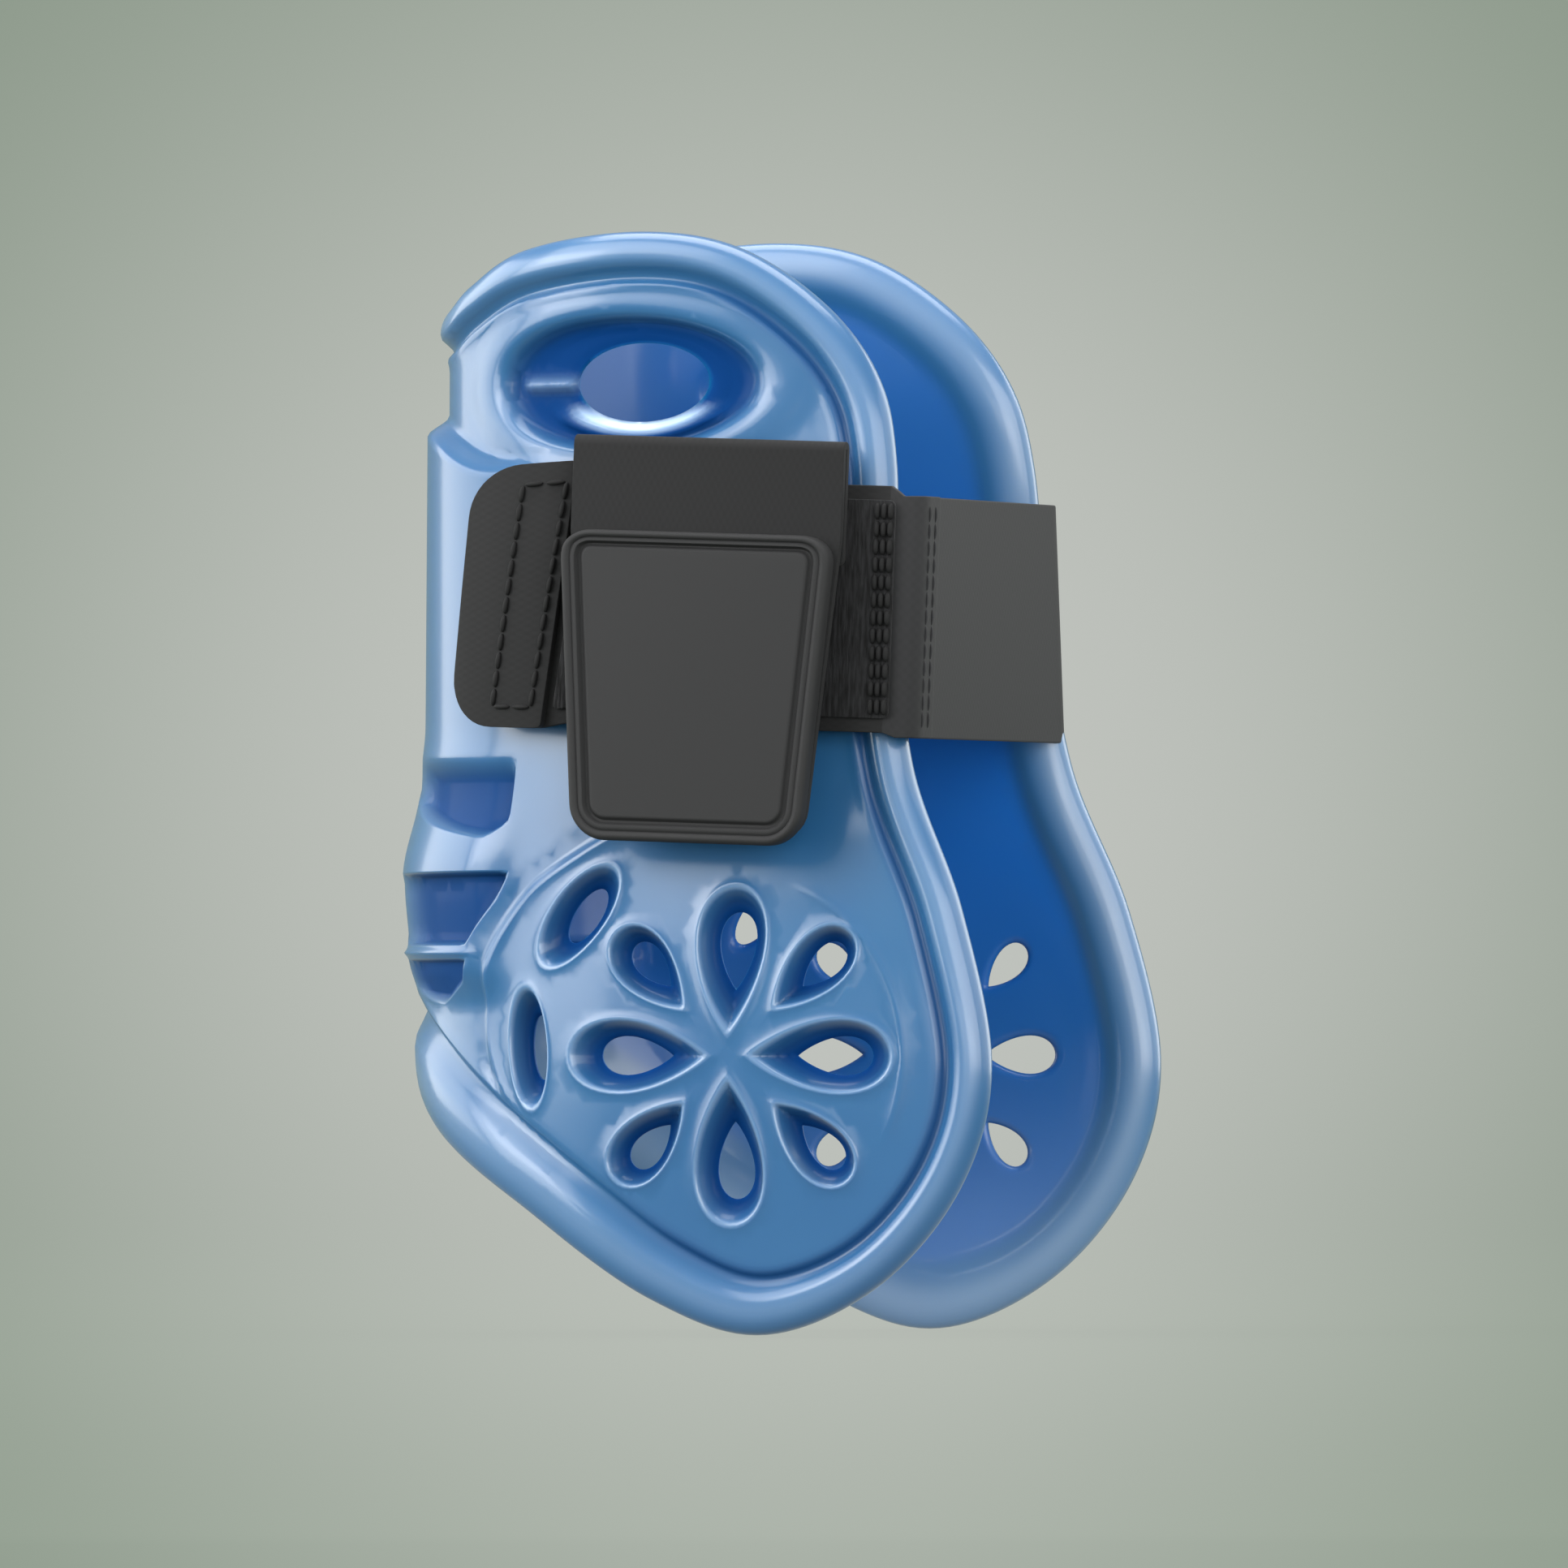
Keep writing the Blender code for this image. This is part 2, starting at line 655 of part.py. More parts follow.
def make_band(finishes, collection):
    """The elastic that crosses the front, from the far corner to the near one."""
    near, far = WEB_LIFT + WEBBING, FAR_LIFT + ELASTIC
    corners = [
        Vector((-(wing_line(STRAP_LOW) + near), STRAP_LOW)),
        Vector((wing_line(STRAP_LOW) + far, STRAP_LOW)),
        Vector((wing_line(STRAP_HIGH) + far, STRAP_HIGH)),
        Vector((-(wing_line(STRAP_HIGH) + near), STRAP_HIGH)),
    ]

    def across_front(y, z, lift):
        return Vector((corner_x() + lift, y, z))

    def beside_seam(v, z, lift):
        return across_front(-(wing_line(z) + near) + v, z, lift)

    band = pad("elastic_band", corners, 0, ELASTIC, across_front, finishes["elastic"], collection)
    pieces = [band]
    for row, name in enumerate(("band_seam_stitching_near", "band_seam_stitching_far")):
        start = SEAM_SETBACK + row * SEAM_SPACING
        seam = [Vector((start, STRAP_LOW + STITCH_INSET)), Vector((start, STRAP_HIGH - STITCH_INSET))]
        pieces.append(thread(name, seam, ELASTIC, beside_seam, finishes["thread"], collection))
    return pieces


def make_strap_end(finishes, collection):
    """The closing end: webbing with hook tape inside, loop tape outside and a folded tab."""
    low, high = STRAP_LOW, STRAP_HIGH
    end = STRAP_END_LENGTH
    corners = [
        Vector((CLEARANCE, low)),
        Vector((CLEARANCE, high)),
        Vector((end - TAB_LEAN, high)),
        Vector((end, low)),
    ]
    corner_radii = [STRAP_CORNER, STRAP_CORNER, TAB_ROUND, TAB_ROUND]
    web = rounded(corners, corner_radii)
    hook_start = WING_PATCH_SETBACK + TAPE_MARGIN
    hook = rectangle(
        hook_start, hook_start + HOOK_LENGTH, low + 2 * TAPE_MARGIN, high - 2 * TAPE_MARGIN, STRAP_CORNER)
    tab_start = end - TAB_LENGTH
    face_corners = [
        Vector((FACE_TAPE_SETBACK, low + TAPE_MARGIN / 2)),
        Vector((FACE_TAPE_SETBACK, high - TAPE_MARGIN / 2)),
        Vector((tab_start - TAB_LEAN - TAPE_MARGIN, high - TAPE_MARGIN / 2)),
        Vector((tab_start - TAPE_MARGIN, low + TAPE_MARGIN / 2)),
    ]
    face = rounded(face_corners, STRAP_CORNER)
    tab_corners = [
        Vector((tab_start, low)),
        Vector((tab_start - TAB_LEAN, high)),
        Vector((end - TAB_LEAN, high)),
        Vector((end, low)),
    ]
    tab = rounded(tab_corners, corner_radii)
    pieces = []
    for name, outline, lift, thickness, finish in (
        ("strap_end_webbing", web, WEB_LIFT, WEBBING, "webbing"),
        ("strap_hook_tape", hook, HOOK_LIFT, HOOK_TAPE, "hook"),
        ("strap_loop_face", face, FACE_LIFT, LOOP_TAPE, "loop"),
        ("pull_tab_fold", tab, FACE_LIFT, WEBBING, "webbing"),
    ):
        laid = pad(name, outline, lift, thickness, on_strap, finishes[finish], collection, STRIP_STEP)
        pieces.append(laid)
    box_corners = [
        Vector((tab_start + STITCH_INSET / 2, low + STITCH_INSET)),
        Vector((tab_start - TAB_LEAN + STITCH_INSET / 2, high - STITCH_INSET)),
        Vector((tab_start - TAB_LEAN + TAB_STITCH_LENGTH, high - STITCH_INSET)),
        Vector((tab_start + TAB_STITCH_LENGTH, low + STITCH_INSET)),
    ]
    box = rounded(box_corners, STRAP_CORNER)
    lift = FACE_LIFT + WEBBING
    pieces.append(thread("pull_tab_stitching", box, lift, on_strap, finishes["thread"], collection))
    return pieces


def flap_left():
    return corner_x() - FLAP_SETBACK - FLAP_WIDTH


def badge_outline(inset):
    """The badge's rounded trapezoid, wide at the top, drawn in by inset."""
    middle = flap_left() + FLAP_WIDTH / 2
    top = FOLD_HEIGHT - BADGE_TOP_DROP - inset
    foot = FOLD_HEIGHT - BADGE_TOP_DROP - BADGE_HEIGHT + inset
    half_top = FLAP_WIDTH / 2 + BADGE_OVERHANG - inset
    half_foot = half_top - BADGE_TAPER
    corners = [
        Vector((middle - half_foot, foot)),
        Vector((middle + half_foot, foot)),
        Vector((middle + half_top, top)),
        Vector((middle - half_top, top)),
    ]
    return rounded(corners, max(BADGE_ROUND - inset / 2, BADGE_ROUND / 2))


def make_hem(finishes, collection):
    """The flap's sewn end, which stays on the strap under the folded-over flap."""
    top = FOLD_HEIGHT - CLEARANCE
    outline = rectangle(flap_left(), flap_left() + FLAP_WIDTH, top - HEM_HEIGHT, top, STRAP_CORNER)
    return pad("flap_hem", outline, GRIP_LIFT, GRIP_PAD, on_wing, finishes["webbing"], collection)


def make_flap(finishes, collection):
    """The lock flap's turning part: webbing that comes down over the strap, and the hook pad
    behind it that grips the strap's loop tape."""
    left, right = flap_left(), flap_left() + FLAP_WIDTH
    top = FOLD_HEIGHT - CLEARANCE
    badge_top = FOLD_HEIGHT - BADGE_TOP_DROP
    corner_points = CORNER_STEPS + 1
    web = badge_outline(FLAP_MARGIN)[: 2 * corner_points]
    web += [Vector((right, badge_top)), Vector((right, top)), Vector((left, top)), Vector((left, badge_top))]
    grip_top = top - HEM_HEIGHT - TAPE_MARGIN
    grip = rectangle(
        left + 2 * TAPE_MARGIN, right - 2 * TAPE_MARGIN, grip_top - GRIP_HEIGHT, grip_top, STRAP_CORNER)
    return [
        pad("flap_webbing", web, FLAP_LIFT, WEBBING, on_wing, finishes["webbing"], collection),
        pad("flap_hook_pad", grip, GRIP_LIFT, GRIP_PAD, on_wing, finishes["hook"], collection),
    ]


def make_badge(finish, collection):
    """A moulded rubber badge: a plain field inside a raised rim with a fine line round it."""
    bm = bmesh.new()
    outline = badge_outline(0)
    face = bm.faces.new([bm.verts.new((p.x, 0, p.y)) for p in outline])
    levels = (
        (0, BADGE_THICKNESS),
        (BADGE_RIM_WIDTH / 3, BADGE_THICKNESS + BADGE_RIM_RISE),
        (BADGE_RIM_WIDTH, BADGE_THICKNESS + BADGE_RIM_RISE),
        (BADGE_RIM_WIDTH + BADGE_LINE_WIDTH / 2, BADGE_THICKNESS - BADGE_RIM_RISE),
        (BADGE_RIM_WIDTH + BADGE_LINE_WIDTH, BADGE_THICKNESS),
    )
    ring = list(face.verts)
    for inset, height in levels:
        above = [bm.verts.new((p.x, height, p.y)) for p in badge_outline(inset)]
        for i in range(len(ring)):
            j = (i + 1) % len(ring)
            bm.faces.new((ring[i], ring[j], above[j], above[i]))
        ring = above
    bm.faces.new(ring)
    for vert in bm.verts:
        vert.co = on_wing(vert.co.x, vert.co.z, BADGE_LIFT + vert.co.y)
    return add_object("badge", bm, finish, collection)


def hinge(name, place, axis, pieces, parent, collection):
    """An empty at a joint, its Z along the joint's axis, that carries the pieces that turn and
    the hinges that ride on them."""
    carrier = bpy.data.objects.new(name, None)
    collection.objects.link(carrier)
    world = Matrix.Translation(place) @ axis.to_track_quat("Z", "Y").to_matrix().to_4x4()
    carrier.matrix_basis = world
    if parent:
        carrier.parent = parent
        carrier.matrix_parent_inverse = parent.matrix_basis.inverted()
    for piece in pieces:
        piece.parent = carrier
        piece.matrix_parent_inverse = world.inverted()
    return carrier


def add_hinges(strap, strap_end, flap, collection):
    """The strap folds at the far corner, its end at the near one, and the flap at its hem."""
    middle = wing_line(STRAP_MIDDLE)
    far_corner = Vector((corner_x(), middle + FAR_LIFT + ELASTIC, STRAP_MIDDLE))
    near_corner = Vector((corner_x(), -(middle + WEB_LIFT + WEBBING), STRAP_MIDDLE))
    fold = on_wing(flap_left() + FLAP_WIDTH / 2, FOLD_HEIGHT, FLAP_LIFT - CLEARANCE / 2)
    swing = hinge("strap_swing", far_corner, Vector((0, -taper_slope(), 1)), strap, None, collection)
    peel = hinge("strap_end_peel", near_corner, Vector((0, taper_slope(), 1)), strap_end, swing, collection)
    tilt = math.tan(STRAP_TILT)
    hinge("flap_lift", fold, Vector((-1, taper_slope() * tilt, tilt)), flap, peel, collection)


def build():
    clear_scene()
    boot = bpy.data.collections.new("fetlock_boot")
    bpy.context.scene.collection.children.link(boot)
    shell = material("blue_gel_plastic", (0.07, 0.21, 0.48), 0.3)
    finishes = {
        "webbing": material("black_webbing", (0.035, 0.035, 0.036), 0.8),
        "elastic": material("grey_elastic", (0.055, 0.055, 0.056), 0.75),
        "hook": material("black_hook_tape", (0.02, 0.02, 0.02), 0.7),
        "loop": material("black_loop_tape", (0.018, 0.018, 0.018), 0.95),
        "thread": material("black_thread", (0.015, 0.015, 0.015), 0.6),
    }
    badge = material("grey_badge_rubber", (0.06, 0.06, 0.06), 0.5)
    make_shell(shell, boot)
    make_wing_patch(finishes["loop"], boot)
    make_far_side(finishes, boot)
    strap = make_band(finishes, boot)
    strap_end = make_strap_end(finishes, boot) + [make_hem(finishes, boot)]
    flap = make_flap(finishes, boot) + [make_badge(badge, boot)]
    add_hinges(strap, strap_end, flap, boot)


CORNER = []
build()
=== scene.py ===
# %% [markdown]
# # A fetlock boot
# A fetlock boot guards the joint above a horse's hoof. It is one soft moulded shell, bent round
# the leg like a U, and a strap that closes the open front. This notebook dresses the packed
# model, whose pieces already have their real size and place. Each step names one piece or
# finish, says what it is on the real boot, and then makes it.

import math
import random

import bpy
import numpy as np
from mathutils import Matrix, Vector
from mathutils.geometry import delaunay_2d_cdt
from mathutils.kdtree import KDTree


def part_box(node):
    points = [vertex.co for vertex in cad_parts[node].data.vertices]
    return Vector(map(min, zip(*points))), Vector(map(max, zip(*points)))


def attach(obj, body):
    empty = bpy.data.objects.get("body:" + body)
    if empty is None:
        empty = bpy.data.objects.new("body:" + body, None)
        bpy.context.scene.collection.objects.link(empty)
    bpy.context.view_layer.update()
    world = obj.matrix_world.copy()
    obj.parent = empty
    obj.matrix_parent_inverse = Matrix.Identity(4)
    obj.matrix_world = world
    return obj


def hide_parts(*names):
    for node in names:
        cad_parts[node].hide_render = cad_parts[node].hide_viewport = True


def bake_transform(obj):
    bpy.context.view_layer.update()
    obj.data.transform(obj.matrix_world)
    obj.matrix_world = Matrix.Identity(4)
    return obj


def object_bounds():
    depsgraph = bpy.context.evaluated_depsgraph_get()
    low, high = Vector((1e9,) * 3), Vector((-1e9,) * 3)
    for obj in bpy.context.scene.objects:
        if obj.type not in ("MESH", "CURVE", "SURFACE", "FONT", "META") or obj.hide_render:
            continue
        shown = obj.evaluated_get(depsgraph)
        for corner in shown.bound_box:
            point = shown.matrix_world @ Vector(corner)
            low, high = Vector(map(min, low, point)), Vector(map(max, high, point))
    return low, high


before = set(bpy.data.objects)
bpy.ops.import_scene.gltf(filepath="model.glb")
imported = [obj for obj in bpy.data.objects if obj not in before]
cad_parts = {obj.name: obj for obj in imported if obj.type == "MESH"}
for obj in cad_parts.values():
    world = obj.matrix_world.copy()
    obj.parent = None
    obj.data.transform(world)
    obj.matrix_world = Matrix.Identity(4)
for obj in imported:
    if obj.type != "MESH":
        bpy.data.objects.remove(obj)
cad_box = [list(corner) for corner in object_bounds()]

# %% [markdown]
# ## The view
# The photograph was taken from far away with a long lens, level with the boot and a little
# in front of its outer wing. A long lens keeps both wings nearly the same size. The camera
# stands that far off, and its lens is worked out from the width that the picture covers.

# %% Camera
MM = 0.001
AZIMUTH = math.radians(18.8)
ELEVATION = math.radians(-0.5)
DISTANCE = 3.9
VIEW_WIDTH = 244.2 * MM
VIEW_MIDDLE = (12.5 * MM, 85.2 * MM)

to_camera = Vector((
    math.sin(AZIMUTH) * math.cos(ELEVATION),
    -math.cos(AZIMUTH) * math.cos(ELEVATION),
    math.sin(ELEVATION),
))
to_right = Vector((math.cos(AZIMUTH), math.sin(AZIMUTH), 0))
aim = to_right * VIEW_MIDDLE[0] + Vector((0, 0, VIEW_MIDDLE[1]))
camera = bpy.data.objects.new("camera", bpy.data.cameras.new("camera"))
bpy.context.scene.collection.objects.link(camera)
camera.data.lens = camera.data.sensor_width * DISTANCE / VIEW_WIDTH
camera.location = aim + to_camera * DISTANCE
camera.rotation_euler = (-to_camera).to_track_quat("-Z", "Y").to_euler()
bpy.context.scene.camera = camera
print(f"lens {camera.data.lens:.0f} mm")

# %% [markdown]
# ## Studio
# Glossy plastic shows its shape by what it mirrors, so everything round the boot is large and
# soft: a key and a second box at the left, a weaker one at the right, a broad one at the right
# front that reaches into the open front, a low strip for the foot, two pale boxes behind that
# brighten the grazing edges, and a box above. The ground is a wide shallow bowl that shines
# with painted light of its own, so it has no horizon and hardly a shadow. That painted glow is
# brightest round the middle of the picture and a little darker away from it.


# %% Small helpers for colours, nodes and edit mode
def linear(hexadecimal):
    """An sRGB hex colour as a linear RGBA value."""
    value = hexadecimal.lstrip("#")
    parts = [int(value[i:i + 2], 16) / 255 for i in (0, 2, 4)]
    return (*((p / 12.92 if p < 0.04045 else ((p + 0.055) / 1.055) ** 2.4) for p in parts), 1)


def add(tree, kind, inputs=None, **settings):
    """Adds a shader node, sets its properties, and fills or links its inputs."""
    made = tree.nodes.new("ShaderNode" + kind)
    for key, value in settings.items():
        setattr(made, key, value)
    for socket, value in (inputs or {}).items():
        if isinstance(value, bpy.types.NodeSocket):
            tree.links.new(value, made.inputs[socket])
        else:
            made.inputs[socket].default_value = value
    return made


def calculated(tree, operation, *values):
    """The result of a math node."""
    return add(tree, "Math", dict(enumerate(values)), operation=operation).outputs[0]


def mixed(tree, factor, *colours):
    """A mix of two colours, each a hex value or a socket. It is the first where factor is 0."""
    first, second = (linear(colour) if isinstance(colour, str) else colour for colour in colours)
    made = add(tree, "Mix", {"Factor": factor, 6: first, 7: second}, data_type="RGBA")
    return made.outputs[2]


def finish(name, colour, roughness, **sockets):
    """A new material on one Principled shader. Sockets are named with _ for a space."""
    made = bpy.data.materials.new(name)
    made.use_nodes = True
    shader = made.node_tree.nodes["Principled BSDF"]
    shader.inputs["Base Color"].default_value = linear(colour)
    shader.inputs["Roughness"].default_value = roughness
    for key, value in sockets.items():
        shader.inputs[key.replace("_", " ")].default_value = value
    return made, made.node_tree, shader


def only(thing):
    """Makes one object the selected and active one."""
    for other in bpy.context.selected_objects:
        other.select_set(False)
    thing.select_set(True)
    bpy.context.view_layer.objects.active = thing


def edit(thing):
    """Goes into edit mode with the whole mesh selected."""
    only(thing)
    bpy.ops.object.mode_set(mode="EDIT")
    bpy.ops.mesh.select_all(action="SELECT")


def leave_edit():
    bpy.ops.object.mode_set(mode="OBJECT")


# %% World and ground
SKY, SKY_STRENGTH = "#e9ecea", 0.6
GROUND_MIDDLE, GROUND_EDGE = "#c0c3be", "#8c998a"
GROUND_GLOW = 0.98
GROUND_FADE = (0.03, 0.2)
GROUND_GAP = 0.3 * MM
BOWL_FLAT, BOWL_CURVE, BOWL_WALL = 5.5, 1.1, 1.2
BOWL_STEPS = 12
NEAREST = 0.5

world = bpy.data.worlds.new("studio")
bpy.context.scene.world = world
world.use_nodes = True
world.node_tree.nodes["Background"].inputs["Color"].default_value = linear(SKY)
world.node_tree.nodes["Background"].inputs["Strength"].default_value = SKY_STRENGTH
bpy.context.scene.view_settings.view_transform = "Standard"

ground_level = cad_box[0][2] - GROUND_GAP
bpy.ops.mesh.primitive_circle_add(
    vertices=96, radius=BOWL_FLAT, fill_type="NGON", location=(0, 0, ground_level))
ground = bpy.context.object
ground.name = "ground"
edit(ground)
bpy.ops.mesh.region_to_loop()
reach, height = BOWL_FLAT, 0.0
for step in range(1, BOWL_STEPS + 1):
    turn = math.pi / 2 * step / BOWL_STEPS
    wider, higher = BOWL_FLAT + BOWL_CURVE * math.sin(turn), BOWL_CURVE * (1 - math.cos(turn))
    bpy.ops.mesh.extrude_edges_move()
    bpy.ops.transform.resize(value=(wider / reach, wider / reach, 1), center_override=(0, 0, 0))
    bpy.ops.transform.translate(value=(0, 0, higher - height))
    reach, height = wider, higher
bpy.ops.mesh.extrude_edges_move()
bpy.ops.transform.translate(value=(0, 0, BOWL_WALL))
leave_edit()
bpy.ops.object.shade_smooth()

# Painted light: the ground shines by itself, brightest round the middle of the picture.
glowing_ground, tree, shader = finish("ground_painted_glow", "#1a1c19", 0.8, Specular_IOR_Level=0.0)
place = add(tree, "TexCoord").outputs["Object"]
from_aim = add(tree, "VectorMath", {0: place, 1: aim}, operation="SUBTRACT").outputs[0]
right, up, near = (
    add(tree, "VectorMath", {0: from_aim, 1: way}, operation="DOT_PRODUCT").outputs["Value"]
    for way in (to_right, to_camera.cross(to_right), to_camera)
)
spot = add(tree, "CombineXYZ", {"X": right, "Y": up}).outputs[0]
away = add(tree, "VectorMath", {0: spot}, operation="LENGTH").outputs["Value"]
depth = calculated(tree, "MAXIMUM", calculated(tree, "SUBTRACT", DISTANCE, near), NEAREST)
spread = calculated(tree, "DIVIDE", away, depth)
ends = {"From Min": GROUND_FADE[0] / DISTANCE, "From Max": GROUND_FADE[1] / DISTANCE}
fade = add(tree, "MapRange", {"Value": spread, **ends}, interpolation_type="SMOOTHSTEP")
glow = mixed(tree, fade.outputs["Result"], GROUND_MIDDLE, GROUND_EDGE)
tree.links.new(glow, shader.inputs["Emission Color"])
shader.inputs["Emission Strength"].default_value = GROUND_GLOW
ground.data.materials.append(glowing_ground)
print(f"ground at {ground_level / MM:.1f} mm, {2 * reach:.1f} m across")


# %% Softboxes
def softbox(name, place, width, height, power):
    """An area light at place (right, towards camera, up) that faces the boot."""
    lamp = bpy.data.lights.new(name, "AREA")
    lamp.shape = "RECTANGLE"
    lamp.size = width
    lamp.size_y = height
    lamp.energy = power
    box = bpy.data.objects.new(name, lamp)
    bpy.context.scene.collection.objects.link(box)
    level = Vector((to_camera.x, to_camera.y, 0)).normalized()
    box.location = to_right * place[0] + level * place[1] + Vector((0, 0, place[2]))
    towards = box.location - Vector((0, 0, VIEW_MIDDLE[1]))
    box.rotation_euler = towards.to_track_quat("Z", "Y").to_euler()


softbox("key", (-1.1, 0.7, 1.0), 1.3, 1.3, 19)
softbox("left", (-1.3, 0.5, 0.3), 1.1, 1.2, 19)
softbox("right", (1.35, 0.1, 0.3), 1.2, 1.3, 9)
softbox("right_front", (0.75, 1.35, 0.3), 1.6, 1.2, 27)
softbox("low_front", (0.1, 1.5, 0.16), 1.6, 0.25, 3)
softbox("top", (0.05, -0.1, 1.3), 1.3, 0.9, 20)
softbox("back_left", (-1.2, -0.6, 0.3), 1.0, 1.2, 11)
softbox("back_right", (1.1, -0.9, 0.3), 0.8, 1.2, 8)
print(len(bpy.data.lights), "softboxes")

# %% [markdown]
# ## How the wall is bent
# The shell is drawn flat, as it would lie if it were cut out of a sheet, and then wrapped:
# s runs along the wall from the spine, z is the height, and lift is the distance outside the
# middle of the wall. At each height the wall is a half circle with straight wings, and it
# narrows from the wide lobe at the foot to the neck. Straps and tapes use the same wrapping,
# so every layer follows the one below it.

# %% The wall
HEIGHT = 170.3 * MM
REACH = 126.5 * MM
LOBE_HALF = 42 * MM
NECK_HALF = 32 * MM
SETBACK = 41.5 * MM
TAPER = [share * HEIGHT for share in (0.264, 0.5, 0.822, 0.94)]
SLOPE = (LOBE_HALF - NECK_HALF) / (
    (TAPER[1] - TAPER[0]) / 2 + TAPER[2] - TAPER[1] + (TAPER[3] - TAPER[2]) / 2)


def rows(*columns):
    """Rows of numbers made from columns, any of which may be one number."""
    return np.stack(np.broadcast_arrays(*columns), axis=-1)


def half_width(z):
    """From the leg's axis to the middle of the wall at height z."""
    a, b, c, d = TAPER
    run = np.clip(z - a, 0, b - a) ** 2 / (2 * (b - a)) + np.clip(z - b, 0, c - b)
    left = np.clip(d - z, 0, d - c)
    run = run + np.where(z > c, ((d - c) ** 2 - left**2) / (2 * (d - c)), 0)
    return LOBE_HALF - SLOPE * run


def on_wall(s, z, lift):
    """Points of the outer wing's wall as rows of x, y, z."""
    half = half_width(z)
    turn = np.minimum(s / half, math.pi / 2)
    straight = np.maximum(s - half * math.pi / 2, 0)
    x = half - SETBACK - (half + lift) * np.cos(turn) + straight
    return rows(x, -(half + lift) * np.sin(turn), z)


shell_low, shell_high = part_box("shell")
print(f"wrapped height {HEIGHT / MM:.1f} mm, the frame's {(shell_high.z - shell_low.z) / MM:.1f} mm")


# %% Curves, distances and eased profiles
CURVE_CUTS = 24


def curve_through(points, step, mirrored=False):
    """An even row of points on a smooth curve through the given ones. A mirrored curve is level
    where it meets its image at s = 0."""
    points = np.array(points, float)
    if mirrored:
        ends = np.vstack((points[1] * (-1, 1, 1), points, points[-2] * (-1, 1, 1)))
    else:
        ends = np.vstack((2 * points[0] - points[1], points, 2 * points[-1] - points[-2]))
    t = np.linspace(0, 1, CURVE_CUTS, endpoint=False)[:, None]
    fine = []
    for p0, p1, p2, p3 in zip(ends, ends[1:], ends[2:], ends[3:]):
        bend = (2 * p0 - 5 * p1 + 4 * p2 - p3) * t**2 + (3 * p1 - p0 - 3 * p2 + p3) * t**3
        fine.append((2 * p1 + (p2 - p0) * t + bend) / 2)
    fine = np.vstack((*fine, points[-1:]))
    lengths = np.concatenate(([0], np.cumsum(np.linalg.norm(np.diff(fine, axis=0), axis=1))))
    even = np.linspace(0, lengths[-1], max(round(lengths[-1] / step), 2) + 1)
    return rows(*(np.interp(even, lengths, column) for column in fine.T))


def beside(path, distance, mirrored=False):
    """The path moved to its right by distance. A mirrored path meets its image at s = 0."""
    first = path[1] * (-1, 1) if mirrored else 2 * path[0] - path[1]
    last = path[-2] * (-1, 1) if mirrored else 2 * path[-1] - path[-2]
    whole = np.vstack((first, path, last))
    along = whole[2:] - whole[:-2]
    along /= np.linalg.norm(along, axis=1)[:, None]
    return path + rows(along[:, 1], -along[:, 0]) * np.reshape(distance, (-1, 1))


def distance_to(points, path, widths=None):
    """Each point's distance to the path, and with widths the path's width nearest to it."""
    a, b = path[:-1], path[1:]
    run = b - a
    share = np.clip(((points[:, None] - a) * run).sum(2) / (run**2).sum(1), 0, 1)
    away = np.linalg.norm(points[:, None] - a - share[..., None] * run, axis=2)
    if widths is None:
        return away.min(1)
    row, nearest = np.arange(len(points)), away.argmin(1)
    share = share[row, nearest]
    return away[row, nearest], widths[nearest] * (1 - share) + widths[nearest + 1] * share


def is_inside(points, loop):
    """Whether each point lies inside a closed loop."""
    a, b = loop, np.roll(loop, -1, axis=0)
    x, y = points[:, :1], points[:, 1:]
    crosses = (a[:, 1] > y) != (b[:, 1] > y)
    rise = np.where(b[:, 1] == a[:, 1], 1, b[:, 1] - a[:, 1])
    left = x < a[:, 0] + (b[:, 0] - a[:, 0]) * (y - a[:, 1]) / rise
    return (crosses & left).sum(1) % 2 == 1


def ease(value, start, end):
    """0 before start, 1 after end, and a smooth climb between."""
    t = np.clip((value - start) / (end - start), 0, 1)
    return t * t * (3 - 2 * t)


def bell(value, middle, width):
    """1 at the middle, and a smooth fall to 0 on both sides."""
    return np.exp(-(((value - middle) / width) ** 2))


def profile(value, knots):
    """A smooth curve that is level at each knot (place, height)."""
    height = np.full(np.shape(value), float(knots[0][1]))
    for (start, low), (end, high) in zip(knots, knots[1:]):
        height = height + (high - low) * ease(value, start, end)
    return height


# %% [markdown]
# ## The shell, drawn flat
# The real shell is injection moulded gel plastic. Its thick rounded rim, groove, flower of
# vents, oval window and the pockets beside the spine all come out of one mould. A Boolean
# would leave ragged edges on such soft shapes, so the sheet is filled with triangles between
# drawn loops: each loop follows an edge that the eye can see, and gives it points of its own.
# Heights come afterwards, from one function of s and z, so the loops only decide where the
# mesh is fine.

# %% The outline and its rim
OUTLINE_SHARES = (
    (0.0, 0.934, 7.0), (0.12, 0.937, 7.0), (0.2, 0.956, 7.0), (0.316, 0.985, 7.2),
    (0.474, 1.0, 7.2), (0.601, 0.986, 7.2), (0.711, 0.936, 7.2), (0.785, 0.87, 7.0),
    (0.82, 0.79, 6.8), (0.842, 0.652, 6.8), (0.88, 0.515, 6.6), (0.957, 0.386, 6.6),
    (1.0, 0.247, 6.8), (0.962, 0.135, 6.8), (0.855, 0.044, 7.2), (0.708, 0.0, 8.8),
    (0.561, 0.033, 9.8), (0.379, 0.12, 11.5), (0.2, 0.183, 15.0), (0.1, 0.2055, 16.1),
    (0.0, 0.213, 16.4),
)
RIM_STEP = 1.6 * MM
RIM_SHARES = (0, 0.02, 0.05, 0.1, 0.17, 0.25, 0.34, 0.44, 0.56, 0.68, 0.8, 0.9, 0.97)
RIM_BEYOND = (0.0, 0.4, 0.8, 1.3, 2.0, 3.0)

